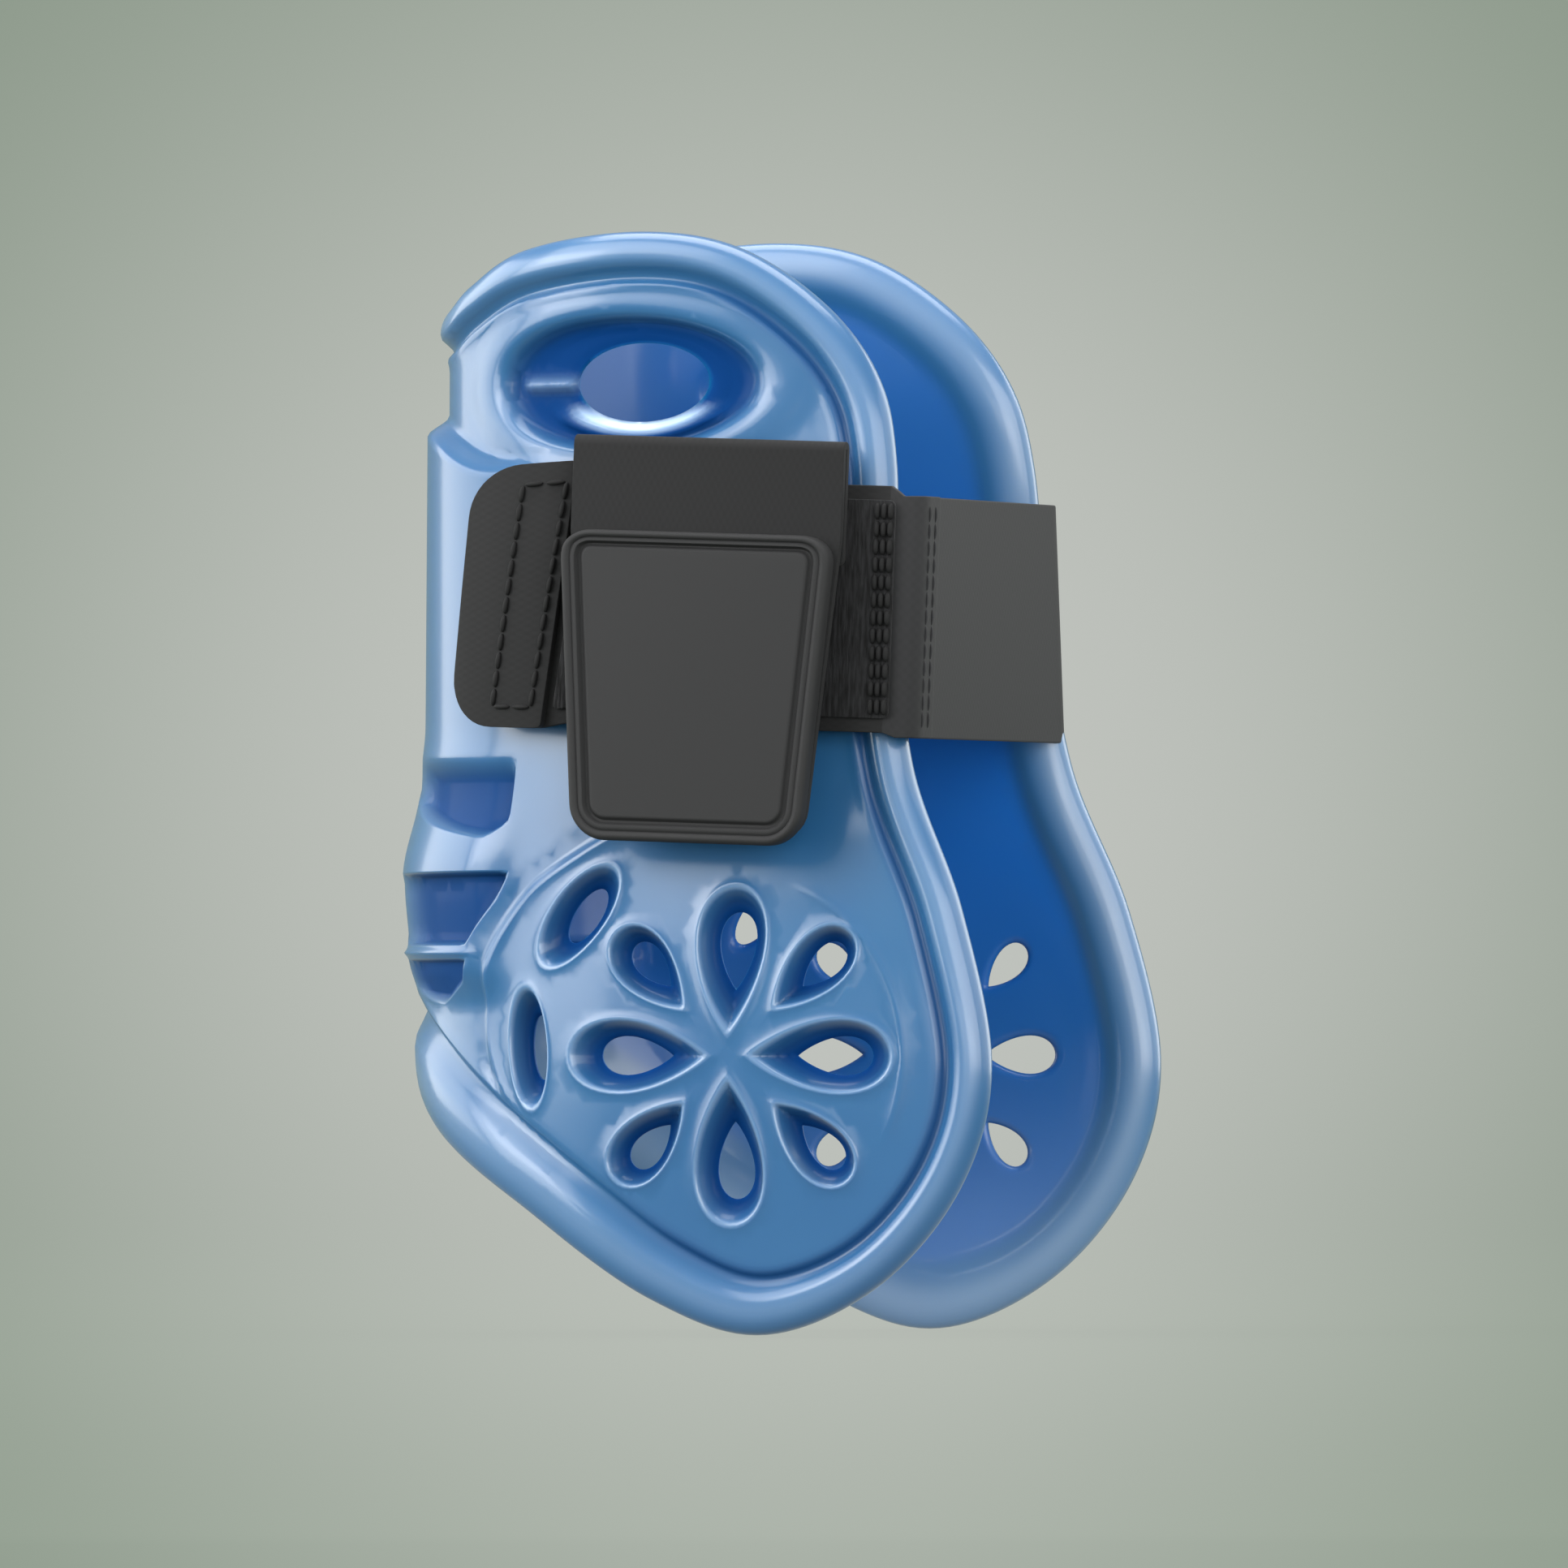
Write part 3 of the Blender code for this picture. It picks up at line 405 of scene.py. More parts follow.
corners = [(s * REACH, z * HEIGHT, width * MM) for s, z, width in OUTLINE_SHARES]
outline = curve_through(corners, RIM_STEP, mirrored=True)
outline, rim_width = outline[:, :2], outline[:, 2]
rim_paths = [beside(outline, rim_width * share, mirrored=True) for share in RIM_SHARES]
rim_paths += [beside(outline, rim_width + past * MM, mirrored=True) for past in RIM_BEYOND]
print(len(outline), "points round half the rim")

# %% The flower, the slots and the window
FLOWER = np.array((85.5, 43.0)) * MM
PETALS = 8
PETAL = (4.5 * MM, 25.5 * MM, 10.5 * MM, 44)
BUD = (11 * MM, 26.5 * MM, 8.4 * MM, 36)
PETAL_TAPER, PETAL_FULLEST, PETAL_MIDDLE = 0.4, 0.8, 0.62
SLOTS = (((60.0, 64.5), 17.2, 8.2, 54), ((52.0, 44.2), 17.6, 6.8, 94))
WINDOW = np.array((58.7, 146.8)) * MM
DISH_SIZE = (44.5 * MM, 20.5 * MM)
HOLE = WINDOW + (2.3 * MM, 0.2 * MM)
HOLE_SIZE = (21.4 * MM, 12.2 * MM)
VENT_RINGS = (1.24, 1.16, 1.09, 1.03, 0.97, 0.9, 0.8, 0.68, 0.57)
DISH_RINGS = (1.5, 1.34, 1.2, 1.1, 1.03, 0.97, 0.91, 0.84, 0.76)
HOLE_RINGS = (1.5, 1.38, 1.26, 1.17, 1.08, 1.0)


def directions(angle):
    """The direction at an angle on the flat sheet, and the one at its left."""
    along = np.array((math.cos(angle), math.sin(angle)))
    return along, np.array((-along[1], along[0]))


def drop(angle, start, end, width, count):
    """A petal's middle and its edge, which is pointed at start and round at end. Both are
    measured from the flower."""
    t = np.linspace(0, 2 * math.pi, count, endpoint=False)
    along, across = directions(angle)
    place = (1 - np.cos(t)) / 2
    half = width / 2 * np.sin(t) * place**PETAL_TAPER / PETAL_FULLEST
    loop = FLOWER + np.outer(start + (end - start) * place, along) + np.outer(half, across)
    return FLOWER + along * (start + (end - start) * PETAL_MIDDLE), loop


def oval(centre, length, width, tilt, count):
    t = np.linspace(0, 2 * math.pi, count, endpoint=False)
    along, across = directions(tilt)
    return centre + np.outer(length / 2 * np.cos(t), along) + np.outer(width / 2 * np.sin(t), across)


vents = [
    drop(math.pi / 2 + 2 * math.pi * i / PETALS, *(BUD if i % 2 else PETAL)) for i in range(PETALS)
]
for place, length, width, tilt in SLOTS:
    centre = np.array(place) * MM
    vents.append((centre, oval(centre, length * MM, width * MM, math.radians(tilt), 36)))
dish = oval(WINDOW, *DISH_SIZE, 0, 72)
window = oval(HOLE, *HOLE_SIZE, 0, 60)
print(len(vents), "vents and a window on each wing")

# %% The panel's edge, the ring round the flower and the spine's pockets
PANEL_PATH = (
    (66, 78), (60, 74.5), (51.5, 68.5), (47, 62.5), (44.3, 56.5),
    (43.3, 50), (43.8, 44), (46.3, 38), (50.5, 32), (57, 25.8),
)
PANEL_STEP = 1.4 * MM
PANEL_OFFSETS = (-1.4, -0.8, -0.3, 0.2, 0.8, 1.5)
RING_RADIUS = 27.8 * MM
RING_ANGLES = (-32, 72)
RING_OFFSETS = (-0.6, 0, 0.6)
POCKETS = (
    (((8, 84), 2.2), ((20, 80.3), 1.8), ((33, 77.5), 1.5), ((43, 76.5), 1.3),
     ((46.8, 79), 1.1), ((47.2, 89.5), 4.5), ((8, 89.5), 16)),
    (((8, 59.9), 1.0), ((40.5, 59.9), 1.3), ((46.0, 67.2), 1.1), ((47.6, 71.6), 1.0),
     ((8, 71.2), 18)),
    (((8, 54.5), 2.0), ((22, 51.4), 1.8), ((31, 50.8), 1.5), ((38.8, 54), 1.1),
     ((40.8, 58.1), 0.8), ((8, 58.1), 16)),
)
POCKET_SINKS = (2.2, 2.4, 1.3)
POCKET_RINGS = (-0.12, 0.0, 0.12, 0.3, 0.5, 0.7, 0.88, 1.0)

panel_edge = curve_through(np.array(PANEL_PATH) * MM, PANEL_STEP)
ring_turns = np.radians(np.arange(RING_ANGLES[0], RING_ANGLES[1] + 1, 3))
ring_rays = rows(np.cos(ring_turns), np.sin(ring_turns))


def pocket_sides(corners):
    """Each side of a pocket: its start, its direction, its inward direction and its softness."""
    places = [np.array(place, float) for place, _ in corners]
    for start, end, (_, soft) in zip(places, places[1:] + places[:1], corners):
        along = (end - start) / np.linalg.norm(end - start)
        yield start, along, np.array((-along[1], along[0])), soft


def pocket_depth(points, corners):
    """1 on a pocket's floor and 0 outside it. Each side has its own softness."""
    depth = np.ones(len(points))
    for start, _, inwards, soft in pocket_sides(corners):
        depth *= ease((points / MM - start) @ inwards, 0, soft)
    return depth


def pocket_ring(corners, share, step=1.3):
    """A pocket's edge, with each side moved in by a share of its own softness."""
    sides = [
        (start + inwards * soft * share, along)
        for start, along, inwards, soft in pocket_sides(corners)
    ]
    bends = []
    for (a, way_a), (b, way_b) in zip(sides[-1:] + sides, sides):
        bends.append(a + way_a * np.linalg.solve(rows(way_a, -way_b), b - a)[0])
    return np.vstack([
        np.linspace(a, b, max(round(np.linalg.norm(b - a) / step), 1), endpoint=False)
        for a, b in zip(bends, bends[1:] + bends[:1])
    ]) * MM


print(len(panel_edge), "points on the panel's edge and", len(POCKETS), "pockets")

# %% [markdown]
# Each face has its own height over the flat sheet, in millimetres. The rim is rolled, the vents
# and the window's dish have steep rounded walls, and the wall itself bulges behind the joint
# and steps in at the top. The same function gives how much painted shade, painted highlight and
# painted light the colour takes at each place, so that they follow the shape.

# %% Shape of the wall, the panel and the vents
WALL = 4 * MM
DOME, DOME_RADIUS = 2.5, 41 * MM
CREST, CREST_HEIGHT = 0.6, 3.45
INNER_CREST, INNER_HEIGHT = 0.8, 3.1
RIM_START, RIM_ROUND = 0.35, 2.2
OUTER_RIM = ((CREST, CREST_HEIGHT), (0.97, 1.3))
INNER_RIM = ((INNER_CREST, INNER_HEIGHT), (1.4, 2.0))
PAST_RIM = ((0.0, 0.0), (1.0, 1.0), (2.6, 0.7))
PANEL_FRONT, PANEL_SIDE, PANEL_TOP = 60 * MM, (0.6, 2.6), (76, 84)
PANEL_RISE, PANEL_CREASE, PANEL_LIP = 0.45, 0.35, 0.3
RING_RISE, RING_WIDTH, RING_FADE = 0.3, 0.45 * MM, 15
VENT_WALL = ((0.57, -3.5), (0.74, -3.0), (0.93, -1.4), (1.01, -0.1), (1.09, 0.28), (1.24, 0.0))
VENT_DEPTH, VENT_BACK = 3.2, 0.5
BULGE = ((50.4, 0.0), (57.2, 2.5), (70.5, 3.4), (85.2, 0.7), (94.2, 0.0))
TOP_STEP = ((139.4, 0.0), (142.6, -3.4))
SPINE_ZONE, TOP_ZONE = (40.5, 50.5), (26, 58)
STEP_DROP, STEP_DROP_ZONE = 6.5, (10, 38)


def out_of(points, centre, loop):
    """How far out each point lies from a loop's centre: 1 on the loop, 0.5 half way to it."""
    turn = np.arctan2(*(loop - centre).T[::-1])
    order = np.argsort(turn)
    radius = np.linalg.norm(loop - centre, axis=1)[order]
    away = points - centre
    edge = np.interp(np.arctan2(away[:, 1], away[:, 0]), turn[order], radius, period=2 * math.pi)
    return np.linalg.norm(away, axis=1) / edge


def step_height(s, height):
    """The height of the step at the top, which drops from the spine towards the wing."""
    return height - STEP_DROP * ease(s, *STEP_DROP_ZONE)


def wall_lift(points):
    """How far the wall's middle is moved out, and how deep each point lies in a pocket."""
    s, z = points.T / MM
    away = np.linalg.norm(points - FLOWER, axis=1)
    moved = DOME * (1 - np.minimum(away / DOME_RADIUS, 1) ** 2) ** 2
    moved += profile(z, BULGE) * (1 - ease(s, *SPINE_ZONE))
    moved += profile(z - step_height(s, 0), TOP_STEP) * (1 - ease(s, *TOP_ZONE))
    depths = [pocket_depth(points, corners) for corners in POCKETS]
    for depth, sink in zip(depths, POCKET_SINKS):
        moved -= sink * depth
    return moved, np.max(depths, axis=0)


def rim_faces(share, past):
    """Both faces' heights from the rolled edge inwards."""
    outer, inner = (
        np.sqrt(1 - (1 - np.clip(share / crest, 0, 1)) ** RIM_ROUND) for crest in (CREST, INNER_CREST))
    outer = profile(share, OUTER_RIM) - (CREST_HEIGHT - RIM_START) * (1 - outer)
    inner = profile(share, INNER_RIM) - (INNER_HEIGHT - RIM_START) * (1 - inner)
    return outer + profile(past, PAST_RIM), inner


def panel_faces(points, past):
    """The outer face's step at the panel's edge, and the thin ring round the flower."""
    away = distance_to(points, panel_edge) / MM
    front = outline[outline[:, 0] > PANEL_FRONT][::-1]
    side = np.where(is_inside(points, np.vstack((panel_edge, front))), away, -away)
    step = PANEL_RISE * ease(side, -1.2, 0.5) - PANEL_CREASE * bell(side, -1.2, 0.7)
    step = step + PANEL_LIP * bell(side, 0.4, 0.6)
    step = step * ease(past, *PANEL_SIDE) * (1 - ease(points[:, 1] / MM, *PANEL_TOP))
    out = points - FLOWER
    turn = np.degrees(np.arctan2(out[:, 1], out[:, 0]))
    low, high = RING_ANGLES
    arc = ease(turn, low, low + RING_FADE) * (1 - ease(turn, high - RING_FADE, high))
    return step + RING_RISE * arc * bell(np.linalg.norm(out, axis=1), RING_RADIUS, RING_WIDTH)


def vent_faces(points):
    """The vents' part of both faces, how deep each point lies in a vent, which sets the painted shade
    there, and how near it is to a vent's lip, where a highlight is painted.
    """
    outer, inner, sunk_shade, lip = (np.zeros(len(points)) for _ in range(4))
    for centre, loop in vents:
        out = out_of(points, centre, loop)
        change = profile(out, VENT_WALL)
        outer += change
        inner -= VENT_BACK * (1 - ease(out, 0.57, 0.72))
        sunk_shade = np.maximum(sunk_shade, np.clip(-change / VENT_DEPTH, 0, 1))
        lip = np.maximum(lip, bell(out, 1.06, 0.05))
    return outer, inner, sunk_shade, lip


# %% Heights and shades of both faces
DISH_WALL = ((0.76, -3.0), (0.93, -2.5), (1.01, -0.15), (1.08, 0.55), (1.2, 0.55), (1.5, 0.0))
DISH_DEPTH, DISH_SHARE = 2.8, (0.7, 1.2)
HOLE_EDGE = ((1.0, -0.4), (1.2, 0.0))
HOLE_BACK, HOLE_LIP, HOLE_LOW, LIP_WIDTH = 0.6, 2.2, (0.45, 1.05), 0.32
WINDOW_BAR, BAR_WIDTH, BAR_START, BAR_END = 1.6, 1.1, (38, 42), (49, 52)
RIDGE_HEIGHT, RIDGE_RISE, RIDGE_WIDTH, RIDGE_FADE = 58.9, 0.6, 0.5, (39, 43)
# Painted highlights, painted light low inside, and painted shade in the groove, pockets and inside.
RIM_PALE, INNER_PALE, LIP_PALE, BAR_PALE, FOOT_PALE = 0.14, 0.2, 0.25, 0.15, 0.12
GROOVE_SHADE, GROOVE_ZONE = 0.65, (62, 80)
POCKET_SHADE, POCKET_THIN, POCKET_MOST = 0.9, 0.4, 1.5
INSIDE_SHADE, INSIDE_LOW, INSIDE_TOP = 0.45, 0.6, 0.45


def faces_of(points):
    """The lift of the outer and of the inner face over each flat point. Then, for both faces,
    how much painted shade, painted highlight and painted light their colour takes, from 0 to 1."""
    s, z = points.T / MM
    edge, width = distance_to(points, outline, rim_width)
    share, past = edge / width, (edge - width) / MM
    outer, inner = rim_faces(share, past)
    vent_outer, vent_inner, sunk_shade, lip = vent_faces(points)
    moved, pocket = wall_lift(points)

    dished = profile(out_of(points, WINDOW, dish), DISH_WALL) * ease(share, *DISH_SHARE)
    hole = out_of(points, HOLE, window)
    low = ease(np.clip((HOLE[1] - points[:, 1]) / (HOLE_SIZE[1] / 2), 0, 1), *HOLE_LOW)
    hole_lip = low * np.clip((hole - 1) / LIP_WIDTH, 0, 1) * (1 - ease(hole, 1.42, 1.66))
    bar = bell(z, WINDOW[1] / MM, BAR_WIDTH) * ease(s, *BAR_START) * (1 - ease(s, *BAR_END))
    ridge = bell(z, RIDGE_HEIGHT, RIDGE_WIDTH) * (1 - ease(s, *RIDGE_FADE))
    outer = outer + panel_faces(points, past) + vent_outer + dished + profile(hole, HOLE_EDGE)
    outer = outer + HOLE_LIP * hole_lip + WINDOW_BAR * bar + RIDGE_RISE * ridge
    inner = inner + vent_inner - HOLE_BACK * (1 - ease(hole, 1.0, 1.2))
    inner = inner - POCKET_THIN * min(np.mean(POCKET_SINKS), POCKET_MOST) * pocket

    # Painted shade in the vents, the dish, the pockets and the rim's groove, lifted at the window's
    # lip and bar.
    sunk_shade = np.maximum(sunk_shade, np.clip(-dished / DISH_DEPTH, 0, 1))
    sunk_shade = sunk_shade * (1 - 0.9 * low * (1 - ease(hole, 1.25, 1.42))) * (1 - 0.6 * bar)
    groove = GROOVE_SHADE * bell(share, 1.04, 0.13) * ease(s, *GROOVE_ZONE)
    sunk_shade = np.maximum(np.maximum(sunk_shade, POCKET_SHADE * pocket), groove)
    # Painted highlights on the rims, the vents' lips and the window; painted light low on the inside.
    painted_highlight = np.maximum(RIM_PALE * bell(share, 0.42, 0.22), LIP_PALE * lip)
    painted_highlight = np.maximum(painted_highlight, low * bell(hole, 1.14, 0.11) + BAR_PALE * bar)
    painted_pale_inside = INNER_PALE * bell(share, 0.4, 0.35) + FOOT_PALE * (1 - ease(z, 8, 48))
    # Painted light on the inside faces, off on the rim, weaker low down and near the top.
    lit = (INSIDE_LOW + (1 - INSIDE_LOW) * ease(z, 40, 76)) * ease(past, 0, 4)
    lit_inside = lit * (1 - INSIDE_TOP * ease(z, 100, 145))
    shades = ((sunk_shade, INSIDE_SHADE * lit), (painted_highlight, painted_pale_inside), (np.zeros(len(points)), lit_inside))
    return (moved + outer) * MM, (moved - inner) * MM, shades


# %% [markdown]
# The sheet is filled by a Delaunay triangulation, which joins loops and free points into well
# shaped triangles. Mirror makes the other wing, Solidify gives the sheet two faces, and then
# each face takes its own height and is wrapped round the leg.

# %% Fill the sheet
FREE_STEP, FREE_GAP = 1.7 * MM, 0.55
ROW_SHARE = 0.87
RIDGE_RUN, RIDGE_OFFSETS = np.arange(0, 43, 1.3), (-0.9, -0.45, 0.0, 0.45, 0.9)
STEP_RUN = np.arange(0, 47, 1.2)
STEP_LINES = (138.6, 139.4, 140.1, 140.8, 141.4, 142.0, 142.7, 143.5)
BAR_RUN, BAR_OFFSETS = np.arange(38, 50, 1.0), (-2.0, -1.3, -0.65, 0.0, 0.65, 1.3, 2.0)


def mesh_object(name, points, faces):
    """A new object in the scene from points and lists of corners."""
    mesh = bpy.data.meshes.new(name)
    mesh.from_pydata(points, [], faces)
    made = bpy.data.objects.new(name, mesh)
    bpy.context.scene.collection.objects.link(made)
    return made


def apply_modifier(thing, kind, **settings):
    only(thing)
    modifier = thing.modifiers.new(kind.lower(), kind)
    for key, value in settings.items():
        setattr(modifier, key, value)
    bpy.ops.object.modifier_apply(modifier=modifier.name)


def sheet_rings():
    """Every drawn path with its points, and whether it is closed."""
    def trimmed(path):
        return path[is_inside(path, outline)], False

    rings = [(path, False) for path in rim_paths]
    rings += [trimmed(beside(panel_edge, offset * MM)) for offset in PANEL_OFFSETS]
    rings += [trimmed(FLOWER + ring_rays * (RING_RADIUS + offset * MM)) for offset in RING_OFFSETS]
    holes = [(*vent, VENT_RINGS) for vent in vents]
    for centre, loop, shares in (*holes, (WINDOW, dish, DISH_RINGS), (HOLE, window, HOLE_RINGS)):
        rings += [(centre + (loop - centre) * share, True) for share in shares]
    rings += [(pocket_ring(corners, share), True) for corners in POCKETS for share in POCKET_RINGS]
    lines = [(RIDGE_RUN, RIDGE_HEIGHT + offset) for offset in RIDGE_OFFSETS]
    lines += [(STEP_RUN, step_height(STEP_RUN, level)) for level in STEP_LINES]
    lines += [(BAR_RUN, WINDOW[1] / MM + offset) for offset in BAR_OFFSETS]
    return rings + [trimmed(rows(run, height) * MM) for run, height in lines]


def flat_mesh(name):
    """Half of the shell as a flat sheet in X and Z."""
    points, edges = [], []
    for ring, closed in sheet_rings():
        first = len(points)
        points += [Vector(p) for p in ring]
        edges += [(first + i, first + i + 1) for i in range(len(ring) - 1)]
        if closed:
            edges.append((first + len(ring) - 1, first))
    tree = KDTree(len(points))
    for i, point in enumerate(points):
        tree.insert((*point, 0), i)
    tree.balance()
    columns, levels = round(REACH / FREE_STEP), round(HEIGHT / (FREE_STEP * ROW_SHARE))
    grid = np.array([
        ((column + (level % 2) / 2) * REACH / columns, level * HEIGHT / levels)
        for column in range(columns) for level in range(levels)
    ])
    for place in grid[is_inside(grid, outline)]:
        if tree.find((*place, 0))[2] > FREE_STEP * FREE_GAP:
            points.append(Vector(place))
    filled = delaunay_2d_cdt(points, edges, [], 0, 1e-8)
    flat = np.array([tuple(p) for p in filled[0]])
    middles = np.array([flat[face].mean(0) for face in filled[2]])
    keep = is_inside(middles, outline) & (out_of(middles, HOLE, window) > 1)
    for centre, loop in vents:
        keep &= out_of(middles, centre, loop) > VENT_RINGS[-1]
    faces = [face for face, kept in zip(filled[2], keep) if kept]
    made = mesh_object(name, [(x, 0, z) for x, z in flat], faces)
    edit(made)
    bpy.ops.mesh.delete_loose()
    bpy.ops.mesh.normals_make_consistent(inside=False)
    leave_edit()
    return made


shell = flat_mesh("gel_shell")
print(len(shell.data.polygons), "faces in half the flat sheet")

# %% Mirror, thicken and wrap
FAR_SHIFT, FAR_ZONE = 1.8 * MM, (24 * MM, 32 * MM)
SHADES = ("sunk_shade", "painted_highlight", "lit")


def coordinates(thing):
    co = np.empty(len(thing.data.vertices) * 3)
    thing.data.vertices.foreach_get("co", co)
    return co.reshape(-1, 3)


def set_coordinates(thing, co):
    thing.data.vertices.foreach_set("co", np.ascontiguousarray(co, dtype=np.float32).ravel())
    thing.data.update()


def turn_outwards(thing):
    """Flips a closed mesh whose faces point in."""
    thing.data.calc_loop_triangles()
    co = coordinates(thing)
    corners = np.array([t.vertices[:] for t in thing.data.loop_triangles])
    a, b, c = co[corners[:, 0]], co[corners[:, 1]], co[corners[:, 2]]
    if (a * np.cross(b, c)).sum() < 0:
        edit(thing)
        bpy.ops.mesh.flip_normals()
        leave_edit()


apply_modifier(shell, "MIRROR", use_axis=(True, False, False), merge_threshold=0.02 * MM)
apply_modifier(shell, "SOLIDIFY", thickness=WALL, offset=0)
flat = coordinates(shell)
far, outside = flat[:, 0] < 0, flat[:, 1] < 0
sheet = rows(np.abs(flat[:, 0]), flat[:, 2])
outer_lift, inner_lift, shades = faces_of(sheet)
from_flower = np.linalg.norm(sheet - FLOWER, axis=1)
along_wall = sheet[:, 0] + FAR_SHIFT * far * (1 - ease(from_flower, *FAR_ZONE))
wrapped = on_wall(along_wall, sheet[:, 1], np.where(outside, outer_lift, inner_lift))
wrapped[:, 1] *= np.where(far, -1, 1)
set_coordinates(shell, wrapped)
turn_outwards(shell)
for name, (value, value_inside) in zip(SHADES, shades):
    value = np.where(outside, value, value_inside)
    layer = shell.data.attributes.new(name, "FLOAT", "POINT")
    layer.data.foreach_set("value", value.astype(np.float32))
only(shell)
bpy.ops.object.shade_smooth()
print(len(shell.data.polygons), "faces in the shell")

# %% [markdown]
# ## Gel plastic
# Fetlock boots like this are moulded in TPU gel: a rubbery, slightly milky plastic. Light goes
# a few millimetres into it and comes back bluer, which subsurface scattering does, and a faint
# coat adds the wet shine of a polished mould. Three attributes paint light and shade into the
# colour. One paints shade in the vents, the window's dish, the pockets, the rim's groove and the
# inside, and dulls them too. One paints highlights on the rims, the vents' lips and the window,
# and light low on the inside. And lit paints light on the inside as a brighter, purer blue.

# %% Shell finish
GEL_CLEAR, GEL_MILKY = "#1c5080", "#2b618b"
# Painted shade, painted light inside and painted highlights, in that order.
GEL_SHADE, GEL_LIT, GEL_HIGHLIGHT = "#033268", "#0b5aa8", "#b4cbe6"
POLISHED_TO_DULL = (
    ("Coat Weight", 0.6, 0.0),
    ("Roughness", 0.34, 0.7),
    ("Specular IOR Level", 0.5, 0.04),
)


def noise(tree, place, scale, detail):
    return add(tree, "TexNoise", {"Vector": place, "Scale": scale, "Detail": detail}).outputs["Fac"]


def bumpy(tree, shader, height, strength, distance):
    """Gives the shader a bump from a height of 0 to 1 that stands for a distance."""
    bump = add(tree, "Bump", {"Height": height, "Strength": strength, "Distance": distance})
    tree.links.new(bump.outputs["Normal"], shader.inputs["Normal"])


gel, tree, shader = finish(
    "tpu_gel", GEL_CLEAR, 0.34,
    Subsurface_Weight=0.15, Subsurface_Scale=2.5 * MM, Coat_Roughness=0.15, IOR=1.5)
shader.inputs["Subsurface Radius"].default_value = (0.4, 0.8, 1.6)
place = add(tree, "TexCoord").outputs["Object"]
sunk_shade, painted_highlight, lit = (add(tree, "Attribute", attribute_name=name).outputs["Fac"] for name in SHADES)
colour = mixed(tree, noise(tree, place, 28.0, 3.0), GEL_MILKY, GEL_CLEAR)
# Painted shade, painted light and painted highlights are mixed into the base colour.
for factor, change in ((sunk_shade, GEL_SHADE), (lit, GEL_LIT), (painted_highlight, GEL_HIGHLIGHT)):
    colour = mixed(tree, factor, colour, change)
tree.links.new(colour, shader.inputs["Base Color"])
for socket, polished, dull in POLISHED_TO_DULL:
    level = add(tree, "MapRange", {"Value": sunk_shade, "To Min": polished, "To Max": dull})
    tree.links.new(level.outputs["Result"], shader.inputs[socket])
bumpy(tree, shader, noise(tree, place, 900.0, 2.0), 0.12, 0.05 * MM)
shell.data.materials.append(gel)
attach(shell, "boot_shell")
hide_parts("shell")
print(len(tree.nodes), "nodes in the gel")

# %% [markdown]
# ## Straps, tapes and webbing
# The soft pieces are flat strips that follow the wing in layers: loop tape on the shell, hook
# tape under the strap, webbing, loop tape on top, and then the folded flap and its badge. Each
# is cut flat with its real corners, thickened, given a flat map in metres for its weave, and
# then laid on the boot.

# %% Where the layers lie
STRAP_LOW, STRAP_HIGH = 92.47 * MM, 130.47 * MM
STRAP_MIDDLE = (STRAP_LOW + STRAP_HIGH) / 2
STRAP_WIDTH = STRAP_HIGH - STRAP_LOW
CORNER_X = 46.65 * MM
CLIMB = math.tan(math.radians(2))
STRAP_LINE = 36.54 * MM
ELASTIC_THICK, WEB_THICK, TAPE_THICK = 1.4 * MM, 1.4 * MM, 1.0 * MM
PATCH_LIFT, WEB_LIFT, FACE_LIFT = 2.3 * MM, 4.9 * MM, 6.6 * MM
HEM_LIFT, FLAP_LIFT, BADGE_LIFT = 8.3 * MM, 9.9 * MM, 11.5 * MM
FAR_LIFT, FAR_LENGTH = 4.0 * MM, 51.5 * MM
CORNER_ROUND = 2.5 * MM
END_WIDER, END_NARROWER, END_LOWER = 2.6, 1.4, 1.0


def strap_edges(margin):
    """The strap's lower and upper edge, both moved in by a margin in millimetres."""
    return STRAP_LOW + margin * MM, STRAP_HIGH - margin * MM


def wing_line(z):
    """The wall's distance from the middle plane behind the strap, where the wing is flat."""
    return STRAP_LINE - SLOPE * (z - STRAP_MIDDLE)


def on_strap(u, z, lift, widens=1):
    """u runs from the front corner back along the outer wing. The strap climbs a little, and
    its end is a little wider, which the tape on the wing isn't."""
    share = (z - STRAP_LOW) / STRAP_WIDTH
    wider = END_WIDER * ease(u, 36 * MM, 50 * MM) - END_NARROWER * ease(u, 50 * MM, 68 * MM)
    lower = END_LOWER * (1 - share) * ease(u, 52 * MM, 58 * MM)
    height = z + CLIMB * u + widens * (share * wider - lower) * MM
    half = half_width(height)
    return on_wall(half * math.pi / 2 + CORNER_X - (half - SETBACK) - u, height, lift)


def on_wing(x, z, lift):
    height = z + CLIMB * (CORNER_X - x)
    return rows(x, -(wing_line(height) + lift), height)


def on_far_wing(x, z, lift):
    return rows(x, wing_line(z) + lift, z)


def round_bend(t, out, corner, arriving, leaving, radius):
    """A path that turns a rounded corner at t = 0, and out is the distance outside it."""
    arriving, leaving = np.array(arriving), np.array(leaving)
    quarter = radius * math.pi / 4
    turn = np.clip((t + quarter) / radius, 0, math.pi / 2)[:, None]
    before = np.minimum(t + quarter, 0)[:, None]
    after = np.maximum(t - quarter, 0)[:, None]
    outwards = np.sin(turn) * arriving - np.cos(turn) * leaving
    middle = corner - radius * arriving + radius * leaving
    return middle + (radius + out[:, None]) * outwards + before * arriving + after * leaving


# %% Cutting and laying a strip
def pick(thing, wanted):
    """Goes into edit mode with only the points selected that wanted(place) accepts."""
    only(thing)
    mesh = thing.data
    for group in (mesh.polygons, mesh.edges):
        group.foreach_set("select", [False] * len(group))
    mesh.vertices.foreach_set("select", [bool(wanted(vertex.co)) for vertex in mesh.vertices])
    bpy.ops.object.mode_set(mode="EDIT")
    bpy.ops.mesh.select_mode(type="VERT")


